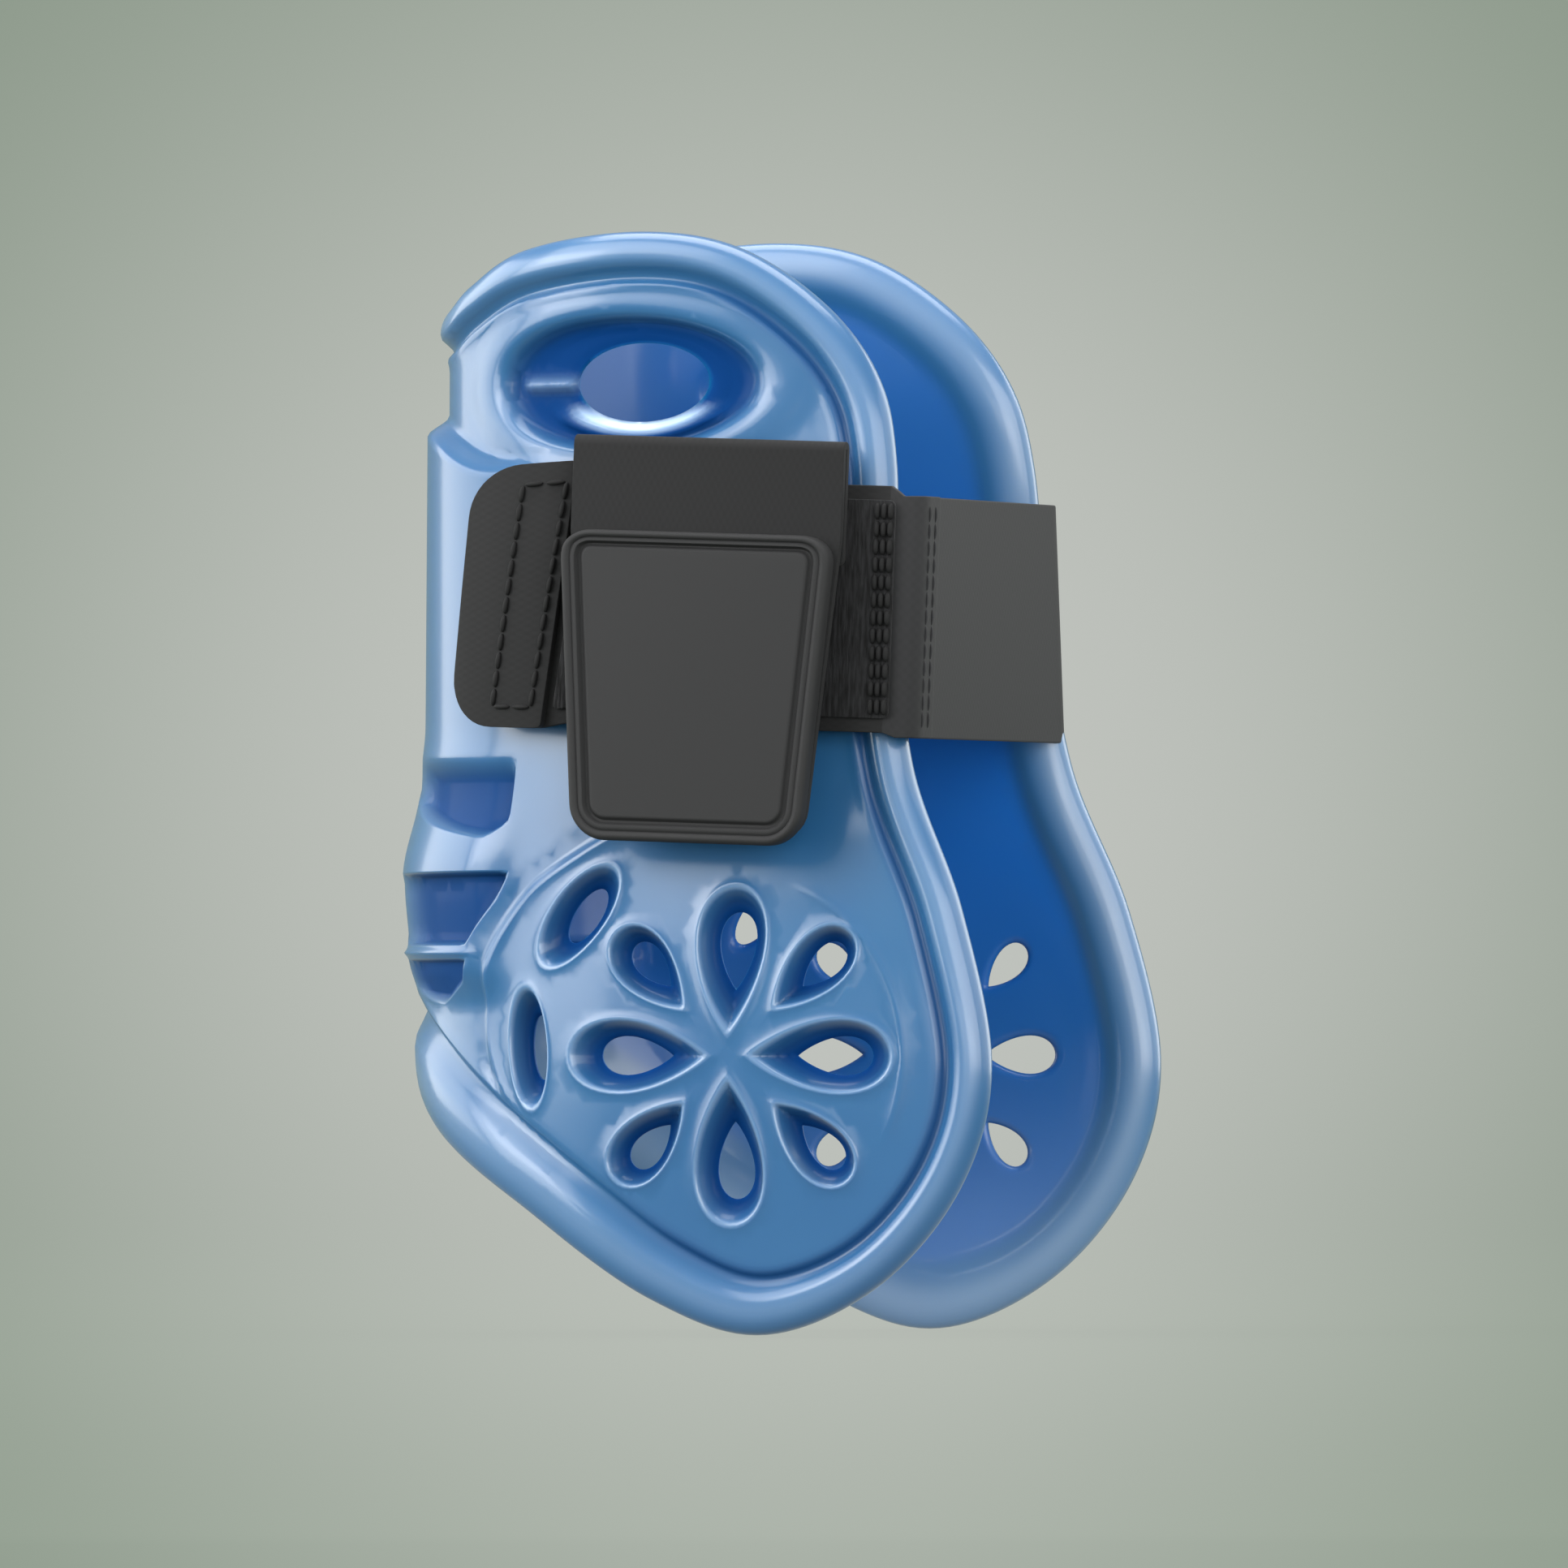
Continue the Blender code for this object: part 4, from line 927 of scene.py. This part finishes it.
def cut_strip(
    name, ends, edges, thick, rounds=(1, 1, 1, 1), lean=0, start_lean=0, step=1.5, soft=0.3,
):
    """A flat strip in X and Z with rounded corners (start low, end low, start high, end high,
    in millimetres), cut into columns, thickened towards -Y and softened at its edges. Its ends
    may lean back from foot to top."""
    (start, end), (low, high) = ends, edges
    bpy.ops.mesh.primitive_plane_add(size=1, rotation=(math.pi / 2, 0, 0))
    made = bpy.context.object
    made.name = name
    made.scale = (end - start, high - low, 1)
    made.location = ((start + end) / 2, 0, (low + high) / 2)
    bpy.ops.object.transform_apply(location=True, rotation=True, scale=True)
    corners = [Vector(vertex.co) for vertex in made.data.vertices]
    corners[2].x -= start_lean
    corners[3].x -= lean
    for vertex, corner in zip(made.data.vertices, corners):
        vertex.co = corner
    for corner, radius in zip(corners, rounds):
        if radius:
            pick(made, lambda place: (place - corner).length < 0.01 * MM)
            segments = max(3, round(radius * 1.5))
            bpy.ops.mesh.bevel(offset=radius * MM, segments=segments, affect="VERTICES")
            leave_edit()
    edit(made)
    for column in range(math.floor(start / (step * MM)) + 1, math.ceil(end / (step * MM))):
        bpy.ops.mesh.select_all(action="SELECT")
        bpy.ops.mesh.bisect(plane_co=(column * step * MM, 0, 0), plane_no=(1, 0, 0))
    leave_edit()
    apply_modifier(made, "SOLIDIFY", thickness=thick, offset=1)
    sharp = math.radians(50)
    apply_modifier(
        made, "BEVEL", width=soft * MM, segments=3, limit_method="ANGLE", angle_limit=sharp)
    flat = coordinates(made)
    layers = made.data.uv_layers
    cloth = layers[0] if layers else layers.new(name="cloth")
    cloth.name = "cloth"
    corner_points = np.empty(len(made.data.loops), int)
    made.data.loops.foreach_get("vertex_index", corner_points)
    cloth.data.foreach_set("uv", flat[corner_points][:, [0, 2]].astype(np.float32).ravel())
    return made


def dress(thing, finish_made, body, replaces):
    """Gives a piece its finish, and its body when one is named. A piece between two bodies is
    fixed where it lies, with no body.
    """
    thing.data.materials.append(finish_made)
    if isinstance(body, str):
        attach(thing, body)
    else:
        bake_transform(thing)
    if replaces:
        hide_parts(*replaces)
    print(thing.name, "has", len(thing.data.polygons), "faces")


def lay(thing, place, body, slot, *replaces):
    """Lays a flat piece by place(length, width, out), where out is the distance above it."""
    flat = coordinates(thing)
    set_coordinates(thing, place(flat[:, 0], flat[:, 2], -flat[:, 1]))
    turn_outwards(thing)
    only(thing)
    bpy.ops.object.shade_smooth_by_angle(angle=math.radians(40))
    dress(thing, finishes[slot], body, replaces)


# %% [markdown]
# ## Woven, knitted and napped finishes
# Webbing is a dense nylon weave, so it is matt with fine ribs across it. The elastic is
# knitted, with finer ribs and a soft sheen. Loop tape is brushed into a nap that swallows
# light, so it is nearly black. Their patterns are drawn from the flat map in metres, so the
# weave keeps its real size and follows every bend. Hooks and thread are plain black plastic
# and polyester, with a dull shine, and the badge's rubber is a soft dark grey.

# %% Cloth finishes
WEBBING_PITCH = (1.1, 0.55)
KNIT_PITCH = (0.7, 0.9)
NAP_FIBRE = (0.5, 4.0)


def woven(name, colour, dark, mirror, pitches, height):
    """Cloth whose threads cross at the given pitches, across and along, in millimetres."""
    made, tree, shader = finish(
        name, colour, 0.85, Sheen_Weight=0.02, Sheen_Roughness=0.5, Specular_IOR_Level=mirror)
    cloth = add(tree, "UVMap", uv_map="cloth").outputs["UV"]
    parts = add(tree, "SeparateXYZ", {"Vector": cloth})
    waves = []
    for axis, pitch in zip("XY", pitches):
        turns = calculated(tree, "MULTIPLY", parts.outputs[axis], math.pi / (pitch * MM))
        waves.append(calculated(tree, "SINE", turns))
    lifted = calculated(tree, "MULTIPLY_ADD", calculated(tree, "MULTIPLY", *waves), 0.5, 0.5)
    rough = calculated(tree, "MULTIPLY_ADD", noise(tree, cloth, 1400.0, 3.0), 0.6, lifted)
    tree.links.new(mixed(tree, lifted, dark, colour), shader.inputs["Base Color"])
    bumpy(tree, shader, rough, 0.6, height * MM)
    return made


def brushed(name, colour, dark, fibre):
    """A nap of fibres brushed along the strip's width, as wide and as long as given."""
    made, tree, shader = finish(
        name, colour, 0.95, Sheen_Weight=0.05, Sheen_Roughness=0.5, Specular_IOR_Level=0.35)
    cloth = add(tree, "UVMap", uv_map="cloth").outputs["UV"]
    scale = (1 / (fibre[0] * MM), 1 / (fibre[1] * MM), 1)
    fibres = add(tree, "Mapping", {"Vector": cloth, "Scale": scale}).outputs[0]
    fuzz = noise(tree, fibres, 1.0, 3.0)
    stretched = add(tree, "MapRange", {"Value": fuzz, "From Min": 0.35, "From Max": 0.65})
    stretched = stretched.outputs["Result"]
    tree.links.new(mixed(tree, stretched, dark, colour), shader.inputs["Base Color"])
    bumpy(tree, shader, stretched, 0.7, 0.2 * MM)
    return made


finishes = {
    "webbing": woven("woven_nylon_webbing", "#19191a", "#151516", 0.3, WEBBING_PITCH, 0.025),
    "elastic": woven("knitted_elastic", "#1d1d1f", "#19191b", 0.42, KNIT_PITCH, 0.015),
    "loop_tape": brushed("brushed_loop_tape", "#1f1f21", "#040405", NAP_FIBRE),
    "hook_tape": finish("moulded_nylon_hooks", "#1b1b1d", 0.45)[0],
    # The thread's near-black is its own colour and also painted shade for the grooves it sinks into.
    "thread": finish("polyester_thread_and_groove_shade", "#070708", 0.75, Specular_IOR_Level=0.3)[0],
    "badge_rubber": finish("moulded_pvc_rubber", "#1f1f20", 0.7, Specular_IOR_Level=0.3)[0],
}
grey_thread = finish("grey_polyester_thread", "#28282a", 0.85, Specular_IOR_Level=0.3)[0]
print("finishes:", ", ".join(finishes))

# %% [markdown]
# ## The elastic
# One length of elastic is sewn to the inner wing, turns the far corner, crosses the front and
# meets the strap's webbing at the near corner. It lies between two bodies of the frame and is
# one piece.

# %% Elastic
FAR_CORNER_Y = FAR_LIFT + ELASTIC_THICK / 2
NEAR_END = 3.6 * MM
FAR_ROUND = 5 * MM
FAR_LEAN = (1.8, 3.4)
SAG = (0.7, 0.8)


def sag(z):
    return (SAG[0] + SAG[1] * (z - STRAP_LOW) / STRAP_WIDTH) * MM


def along_elastic(t, z, out):
    """The elastic follows the far wing's edge, and lies a little lower than the webbing."""
    corner = rows(CORNER_X + ELASTIC_THICK / 2, wing_line(z) + FAR_CORNER_Y)
    plan = round_bend(t, out - ELASTIC_THICK / 2, corner, (1, 0), (0, -1), FAR_ROUND)
    plan[:, 1] = np.maximum(plan[:, 1], -(wing_line(z) + NEAR_END))
    share = (z - STRAP_LOW) / STRAP_WIDTH
    lean = (FAR_LEAN[0] + FAR_LEAN[1] * share * (1 - share)) * MM
    lean = lean * np.clip(0.5 + plan[:, 1] / (2 * STRAP_LINE), 0, 1)
    plan[:, 0] -= lean * np.clip(1 + (plan[:, 0] - CORNER_X) / FAR_LENGTH, 0, 1)
    return np.column_stack((plan, z - sag(z)))


slack = FAR_ROUND * (1 - math.pi / 4)
elastic = cut_strip(
    "elastic", (-FAR_LENGTH + slack, 2 * STRAP_LINE + FAR_CORNER_Y + NEAR_END), strap_edges(0),
    ELASTIC_THICK, rounds=(0, 0, 0, 0), step=1.0)
far_fold = Vector((CORNER_X, STRAP_LINE + FAR_CORNER_Y, STRAP_MIDDLE))
lay(
    elastic, along_elastic,
    ("boot_shell", "strap", far_fold + Vector((-5, 0, 0)) * MM, far_fold + Vector((0, -5, 0)) * MM),
    "elastic", "elastic_band", "elastic_far_side")
patch = cut_strip(
    "far_backing", (CORNER_X - 50 * MM, CORNER_X - 26 * MM), strap_edges(1.5), WEB_THICK)
lay(
    patch, lambda x, z, out: on_far_wing(x, z, PATCH_LIFT + out),
    "boot_shell", "webbing", "far_backing_patch")

# %% [markdown]
# ## The strap's closing end
# Webbing is sewn to the elastic at the near corner, runs back along the outer wing and ends in
# a doubled pull tab with rounded corners. The elastic is lapped round the corner over the
# webbing, so that part of the strip takes the elastic's finish.

# %% Closing end
END_LENGTH = 71.8 * MM
TONGUE, TONGUE_LIFT = 7.5 * MM, 1.6 * MM
TAB_LENGTH, TAB_LEAN = 15.5 * MM, 3.4 * MM
TAB_START = END_LENGTH - TAB_LENGTH
TAB_ROUNDS = (0.5, 7.5, 0.5, 7.5)
TAB_SINK = 0.2 * MM
LAP = 2 * MM
QUARTER = CORNER_ROUND * math.pi / 4


def along_strap_end(t, z, out):
    flat = on_strap(CORNER_ROUND + t - QUARTER, z, WEB_LIFT + out)
    line = -(wing_line(z) + WEB_LIFT + WEB_THICK / 2)
    corner = rows(CORNER_X + TONGUE_LIFT + WEB_THICK / 2, line)
    plan = round_bend(t, out - WEB_THICK / 2, corner, (0, -1), (-1, 0), CORNER_ROUND)
    bent = np.column_stack((plan, z + CLIMB * np.maximum(CORNER_X - plan[:, 0], 0)))
    bent[:, 2] -= sag(z) * (1 - ease(t, QUARTER, QUARTER + LAP))
    return np.where((t > QUARTER + TONGUE_LIFT * 1.5)[:, None], flat, bent)


webbing = cut_strip(
    "strap_webbing", (-TONGUE, END_LENGTH - CORNER_ROUND + QUARTER), strap_edges(0), WEB_THICK,
    rounds=TAB_ROUNDS, lean=TAB_LEAN, step=1.0)
lapped = [face.index for face in webbing.data.polygons if face.center.x < QUARTER + LAP]
near_fold = Vector((CORNER_X, -(STRAP_LINE + WEB_LIFT + WEB_THICK / 2), STRAP_MIDDLE))
lay(
    webbing, along_strap_end,
    ("strap_end", "strap", near_fold + Vector((-4, 0, 0)) * MM, near_fold + Vector((0, 4, 0)) * MM),
    "webbing", "strap_end_webbing")
webbing.data.materials.append(finishes["elastic"])
for face in lapped:
    webbing.data.polygons[face].material_index = 1
tab = cut_strip(
    "pull_tab", (TAB_START, END_LENGTH), strap_edges(0), WEB_THICK,
    rounds=TAB_ROUNDS, lean=TAB_LEAN, start_lean=TAB_LEAN, step=1.0, soft=0.5)
lay(
    tab, lambda u, z, out: on_strap(u, z, FACE_LIFT - TAB_SINK + out),
    "strap_end", "webbing", "pull_tab_fold")

# %% [markdown]
# ## Hook and loop tape
# Loop tape is a brushed knit. Its nap is a field of tiny loops, modelled once and set down at
# seeded places. Hook tape is a woven base with rows of bent nylon stems.

# %% Loops and hooks
LOOPS_PER_MM2 = 1.3
LOOP_RADIUS, LOOP_WIRE, LOOP_TURN = 0.38 * MM, 0.07 * MM, math.pi
LOOP_SIZES = (0.8, 1.25)
LOOP_MARGIN, COUNT_MARGIN = 0.9 * MM, 1.6 * MM
HOOK_PITCH = 1.3 * MM
HOOK_RADIUS, HOOK_WIRE, HOOK_TURN = 0.34 * MM, 0.1 * MM, math.pi * 0.82
FACE_SINK = 0.25 * MM


def small_arc(name, radius, wire, turn, sides):
    """A short bent wire: an arc of a thin tube, standing on its foot at the origin."""
    bpy.ops.mesh.primitive_circle_add(
        vertices=sides, radius=wire, fill_type="NGON", location=(radius, 0, 0))
    made = bpy.context.object
    made.name = name
    bpy.ops.object.transform_apply(location=True)
    edit(made)
    bpy.ops.mesh.spin(steps=5, angle=turn, center=(0, 0, 0), axis=(0, -1, 0))
    leave_edit()
    return made


def repeated(name, pattern, copies):
    """One mesh from the points of many copies of pattern, which is used up."""
    faces = [list(face.vertices) for face in pattern.data.polygons]
    count = len(pattern.data.vertices)
    bpy.data.objects.remove(pattern)
    all_faces = [
        [corner + i * count for corner in face] for i in range(len(copies)) for face in faces
    ]
    return mesh_object(name, np.vstack(copies), all_faces)


def planted(base, pattern, places, turns, sizes):
    """The base with copies of pattern on it, each turned about its own upright and scaled."""
    shape = coordinates(pattern)
    copies = []
    for place, turn, size in zip(places, turns, sizes):
        c, s = math.cos(turn), math.sin(turn)
        x = shape[:, 0] * c - shape[:, 1] * s
        y = shape[:, 0] * s + shape[:, 1] * c
        copies.append(rows(x * size + place[0], -shape[:, 2] * size + place[1], y * size + place[2]))
    field = repeated(base.name + "_field", pattern, copies)
    field.data.uv_layers.new(name="cloth")
    only(base)
    field.select_set(True)
    bpy.ops.object.join()
    return base


def loop_tape(name, ends, edges, seed, lean=0):
    (start, end), (low, high) = ends, edges
    base = cut_strip(name, ends, edges, TAPE_THICK * 0.6, lean=lean, soft=0.2)
    chance = random.Random(seed)
    area = (end - start - COUNT_MARGIN) * (high - low - COUNT_MARGIN) / MM**2
    places = []
    for _ in range(round(area * LOOPS_PER_MM2)):
        z = chance.uniform(low + LOOP_MARGIN, high - LOOP_MARGIN)
        last = end - LOOP_MARGIN - lean * (z - low) / (high - low)
        places.append((chance.uniform(start + LOOP_MARGIN, last), -TAPE_THICK * 0.55, z))
    turns = [chance.uniform(0, math.pi) for _ in places]
    sizes = [chance.uniform(*LOOP_SIZES) for _ in places]
    pattern = small_arc("loop_pattern", LOOP_RADIUS, LOOP_WIRE, LOOP_TURN, 3)
    return planted(base, pattern, places, turns, sizes)


def hook_tape(name, ends, edges, thick):
    (start, end), (low, high) = ends, edges
    base = cut_strip(name, ends, edges, thick * 0.45, soft=0.2)
    places, turns = [], []
    for column in range(1, int((end - start) / HOOK_PITCH)):
        for row in range(1, int((high - low) / HOOK_PITCH)):
            z = low + (row + 0.5 * (column % 2)) * HOOK_PITCH
            places.append((start + column * HOOK_PITCH, -thick * 0.4, z))
            turns.append(math.pi * (row % 2))
    pattern = small_arc("hook_pattern", HOOK_RADIUS, HOOK_WIRE, HOOK_TURN, 4)
    return planted(base, pattern, places, turns, [1.0] * len(places))


lay(
    loop_tape("wing_loop_tape", (12.5 * MM, 62.5 * MM), strap_edges(1.5), 3),
    lambda u, z, out: on_strap(u, z, PATCH_LIFT + out, 0),
    "boot_shell", "loop_tape", "wing_loop_patch")
lay(
    loop_tape("strap_loop_tape", (1.2 * MM, TAB_START - 1.2 * MM), strap_edges(2.2), 5, TAB_LEAN),
    lambda u, z, out: on_strap(u, z, FACE_LIFT - FACE_SINK + out),
    "strap_end", "loop_tape", "strap_loop_face")
lay(
    hook_tape("strap_hook_tape_pile", (14 * MM, 60 * MM), strap_edges(3), TAPE_THICK),
    lambda u, z, out: on_strap(u, z, WEB_LIFT + 0.1 * MM - out),
    "strap_end", "hook_tape", "strap_hook_tape")

# %% [markdown]
# ## The lock flap
# A wider piece of webbing is sewn by its hem to the strap, folds over at the top, and comes
# down over the strap with the badge on it. It is one strip, bent over a tight fold.

# %% Flap
FLAP_MIDDLE = 16.16 * MM
FLAP_WIDTH, FLAP_THICK = 44 * MM, 1.2 * MM
FLAP_NARROWS = 0.2
FOLD_TOP = 137.0 * MM
FOLD_ROUND = (FLAP_LIFT - HEM_LIFT) / 2
HEM_HEIGHT = 18.5 * MM
GRIP_HALF, GRIP_EDGES = 19 * MM, (98.3 * MM, 117.3 * MM)
BADGE_MIDDLE = FLAP_MIDDLE - 0.8 * MM
BADGE_TOP, BADGE_HEIGHT = 122.37 * MM, 47.8 * MM
BADGE_FOOT = BADGE_TOP - BADGE_HEIGHT
fold_centre = FOLD_TOP - FOLD_ROUND - FLAP_THICK / 2
fold_arc = FOLD_ROUND * math.pi / 2
hem_run = HEM_HEIGHT - FOLD_ROUND
flap_run = fold_centre - (BADGE_FOOT + 1.5 * MM)


def along_flap(t, across, out):
    """t is 0 at the top of the fold, negative on the hem and positive on the flap."""
    turn = np.clip(t / FOLD_ROUND, -math.pi / 2, math.pi / 2)
    reach = FOLD_ROUND + out - FLAP_THICK / 2
    lift = HEM_LIFT + FLAP_THICK / 2 + FOLD_ROUND + reach * np.sin(turn)
    z = fold_centre + reach * np.cos(turn) - np.maximum(np.abs(t) - fold_arc, 0)
    below = np.clip((BADGE_TOP - z) / BADGE_HEIGHT, 0, 1) * (t > 0)
    return on_wing(FLAP_MIDDLE + across * (1 - FLAP_NARROWS * below), z, lift)


flap = cut_strip(
    "lock_flap", (-hem_run - fold_arc, flap_run + fold_arc), (-FLAP_WIDTH / 2, FLAP_WIDTH / 2),
    FLAP_THICK, rounds=(1, 4, 1, 4), step=0.25, soft=0.25)
between = Vector(on_wing(FLAP_MIDDLE, FOLD_TOP, HEM_LIFT + FLAP_THICK))
outwards = Vector((0, -1, SLOPE)).normalized()
lay(
    flap, along_flap,
    ("strap_end", "flap", between, between + outwards * (FLAP_LIFT - HEM_LIFT - FLAP_THICK)),
    "webbing", "flap_hem", "flap_webbing")
grip = hook_tape(
    "flap_hook_tape", (FLAP_MIDDLE - GRIP_HALF, FLAP_MIDDLE + GRIP_HALF), GRIP_EDGES, 1.5 * MM)
lay(
    grip, lambda x, z, out: on_wing(x, z, FLAP_LIFT + 0.05 * MM - out),
    "flap", "hook_tape", "flap_hook_pad")

# %% [markdown]
# ## The badge
# A moulded PVC badge is sewn or welded to the flap. It has a double raised rim and a fine
# groove round a plain field. Insets follow its outline at an even distance, which is how the
# mould's cutter would run.

# %% Badge
BADGE_HALF_TOP, BADGE_HALF_FOOT = 22.25 * MM, 18.5 * MM
BADGE_ROUND = 5.4
BADGE_SINK = 0.3 * MM
BADGE_STEPS = (
    (0.0, 1.9), (0.12, 2.35), (0.35, 2.75), (0.65, 2.92), (1.0, 2.9), (1.3, 2.7),
    (1.5, 2.45), (1.7, 2.6), (1.95, 2.72), (2.3, 2.68), (2.5, 2.4), (2.65, 2.05),
    (2.85, 1.9), (3.1, 1.92), (3.3, 2.1), (3.45, 2.4), (3.65, 2.55), (3.9, 2.58),
)
TOP_RIM, PLAIN_RIM = 2.6 * MM, 3.45 * MM

bpy.ops.mesh.primitive_plane_add(size=1, rotation=(math.pi / 2, 0, 0))
badge = bpy.context.object
badge.name = "badge_rubber"
bpy.ops.object.transform_apply(rotation=True)
for vertex in badge.data.vertices:
    foot = vertex.co.z < 0
    half, height = (BADGE_HALF_FOOT, BADGE_FOOT) if foot else (BADGE_HALF_TOP, BADGE_TOP)
    vertex.co = (math.copysign(half, vertex.co.x), 0, height)
edit(badge)
bpy.ops.mesh.bevel(offset=BADGE_ROUND * MM, segments=10, affect="VERTICES")
bpy.ops.mesh.select_all(action="SELECT")
bpy.ops.mesh.extrude_region_move(
    TRANSFORM_OT_translate={"value": (0, -BADGE_STEPS[0][1] * MM, 0)})
for (before, under), (inset, height) in zip(BADGE_STEPS, BADGE_STEPS[1:]):
    bpy.ops.mesh.inset(thickness=(inset - before) * MM, depth=0)
    bpy.ops.transform.translate(value=(0, -(height - under) * MM, 0))
leave_edit()


def on_badge(x, z, out):
    """The rim is narrower along the top than at the sides and foot."""
    heights = (BADGE_FOOT, STRAP_MIDDLE, BADGE_TOP - PLAIN_RIM, BADGE_TOP)
    z = np.interp(z, heights, (*heights[:2], BADGE_TOP - TOP_RIM, BADGE_TOP))
    return on_wing(BADGE_MIDDLE + x, z, BADGE_LIFT - BADGE_SINK + out)


lay(badge, on_badge, "flap", "badge_rubber", "badge")

# %% [markdown]
# ## Stitches
# A lockstitch shows as short, plump lengths of thread with a gap where the needle went down.
# One stitch is modelled and set down along each seam.

# %% Stitches
STITCH_LENGTH, STITCH_PITCH = 2.5 * MM, 2.65 * MM
STITCH_THICK, TACK_THICK, FINE_THICK = 0.75 * MM, 0.95 * MM, 0.4 * MM
STITCH_RISE, STITCH_BLUNT = 0.12 * MM, 0.75


def seam(name, path, place, lift, body, *replaces, closed=False, thick=STITCH_THICK,
         made_of=finishes["thread"]):
    """Stitches along a flat path of (length, width) points, laid at lift by place()."""
    corners = [np.array(p, float) for p in path]
    if closed:
        corners.append(corners[0])
    bpy.ops.mesh.primitive_uv_sphere_add(segments=12, ring_count=8, radius=0.5)
    pattern = bpy.context.object
    shape = coordinates(pattern)
    shape = np.sign(shape) * np.abs(shape * 2) ** np.array((1, 1, STITCH_BLUNT)) / 2
    lengthways, sideways = shape[:, 2] * STITCH_LENGTH, shape[:, 0] * thick
    rise = STITCH_RISE * (1 - (2 * shape[:, 2]) ** 2)
    copies = []
    for a, b in zip(corners, corners[1:]):
        run = np.linalg.norm(b - a)
        way = (b - a) / run
        count = max(round(run / STITCH_PITCH), 1)
        for i in range(count):
            centre = a + (b - a) * (i + 0.5) / count
            u = centre[0] + way[0] * lengthways - way[1] * sideways
            z = centre[1] + way[1] * lengthways + way[0] * sideways
            copies.append(place(u, z, lift + rise + shape[:, 1] * thick))
    made = repeated(name, pattern, copies)
    turn_outwards(made)
    only(made)
    bpy.ops.object.shade_smooth()
    dress(made, made_of, body, replaces)


def box_path(left, right, edges, lean=0):
    low, high = edges
    return [(left, low), (right, low), (right - lean, high), (left - lean, high)]


def cross_row(row, margin):
    """A straight row across the strap at a distance from its corner, in millimetres."""
    return [(row * MM, edge) for edge in strap_edges(margin)]


def on_tongue(v, z, lift):
    return rows(CORNER_X + lift, -(wing_line(z) + WEB_LIFT + WEB_THICK) + v, z - sag(z))


seam(
    "tab_stitches", box_path(TAB_START + 1.5 * MM, TAB_START + 7.5 * MM, strap_edges(3), TAB_LEAN),
    on_strap, FACE_LIFT + WEB_THICK - 0.1 * MM, "strap_end", "pull_tab_stitching", closed=True)
seam(
    "far_anchor_stitches", box_path(CORNER_X - 47 * MM, CORNER_X - 29 * MM, strap_edges(3)),
    on_far_wing, FAR_LIFT + ELASTIC_THICK + 0.1 * MM, "boot_shell", "far_anchor_stitching",
    closed=True)
for i, row in enumerate((1.8, 2.9, 4.0)):
    seam(
        f"bar_tack_{i + 1}", cross_row(row, 2.6), on_strap, FACE_LIFT + TAPE_THICK * 0.6,
        "strap_end", thick=TACK_THICK)
for row, node in ((3.4, "band_seam_stitching_near"), (6.2, "band_seam_stitching_far")):
    seam(
        node.replace("stitching", "stitches"), cross_row(row, 1.5), on_tongue,
        TONGUE_LIFT + WEB_THICK, "strap", node, thick=FINE_THICK, made_of=grey_thread)
hem_edges = (FOLD_TOP - HEM_HEIGHT + 2.5 * MM, STRAP_HIGH - 2 * MM)
seam(
    "hem_stitches", box_path(FLAP_MIDDLE - 19.5 * MM, FLAP_MIDDLE + 19.5 * MM, hem_edges),
    on_wing, HEM_LIFT + FLAP_THICK + 0.05 * MM, "strap_end", closed=True)
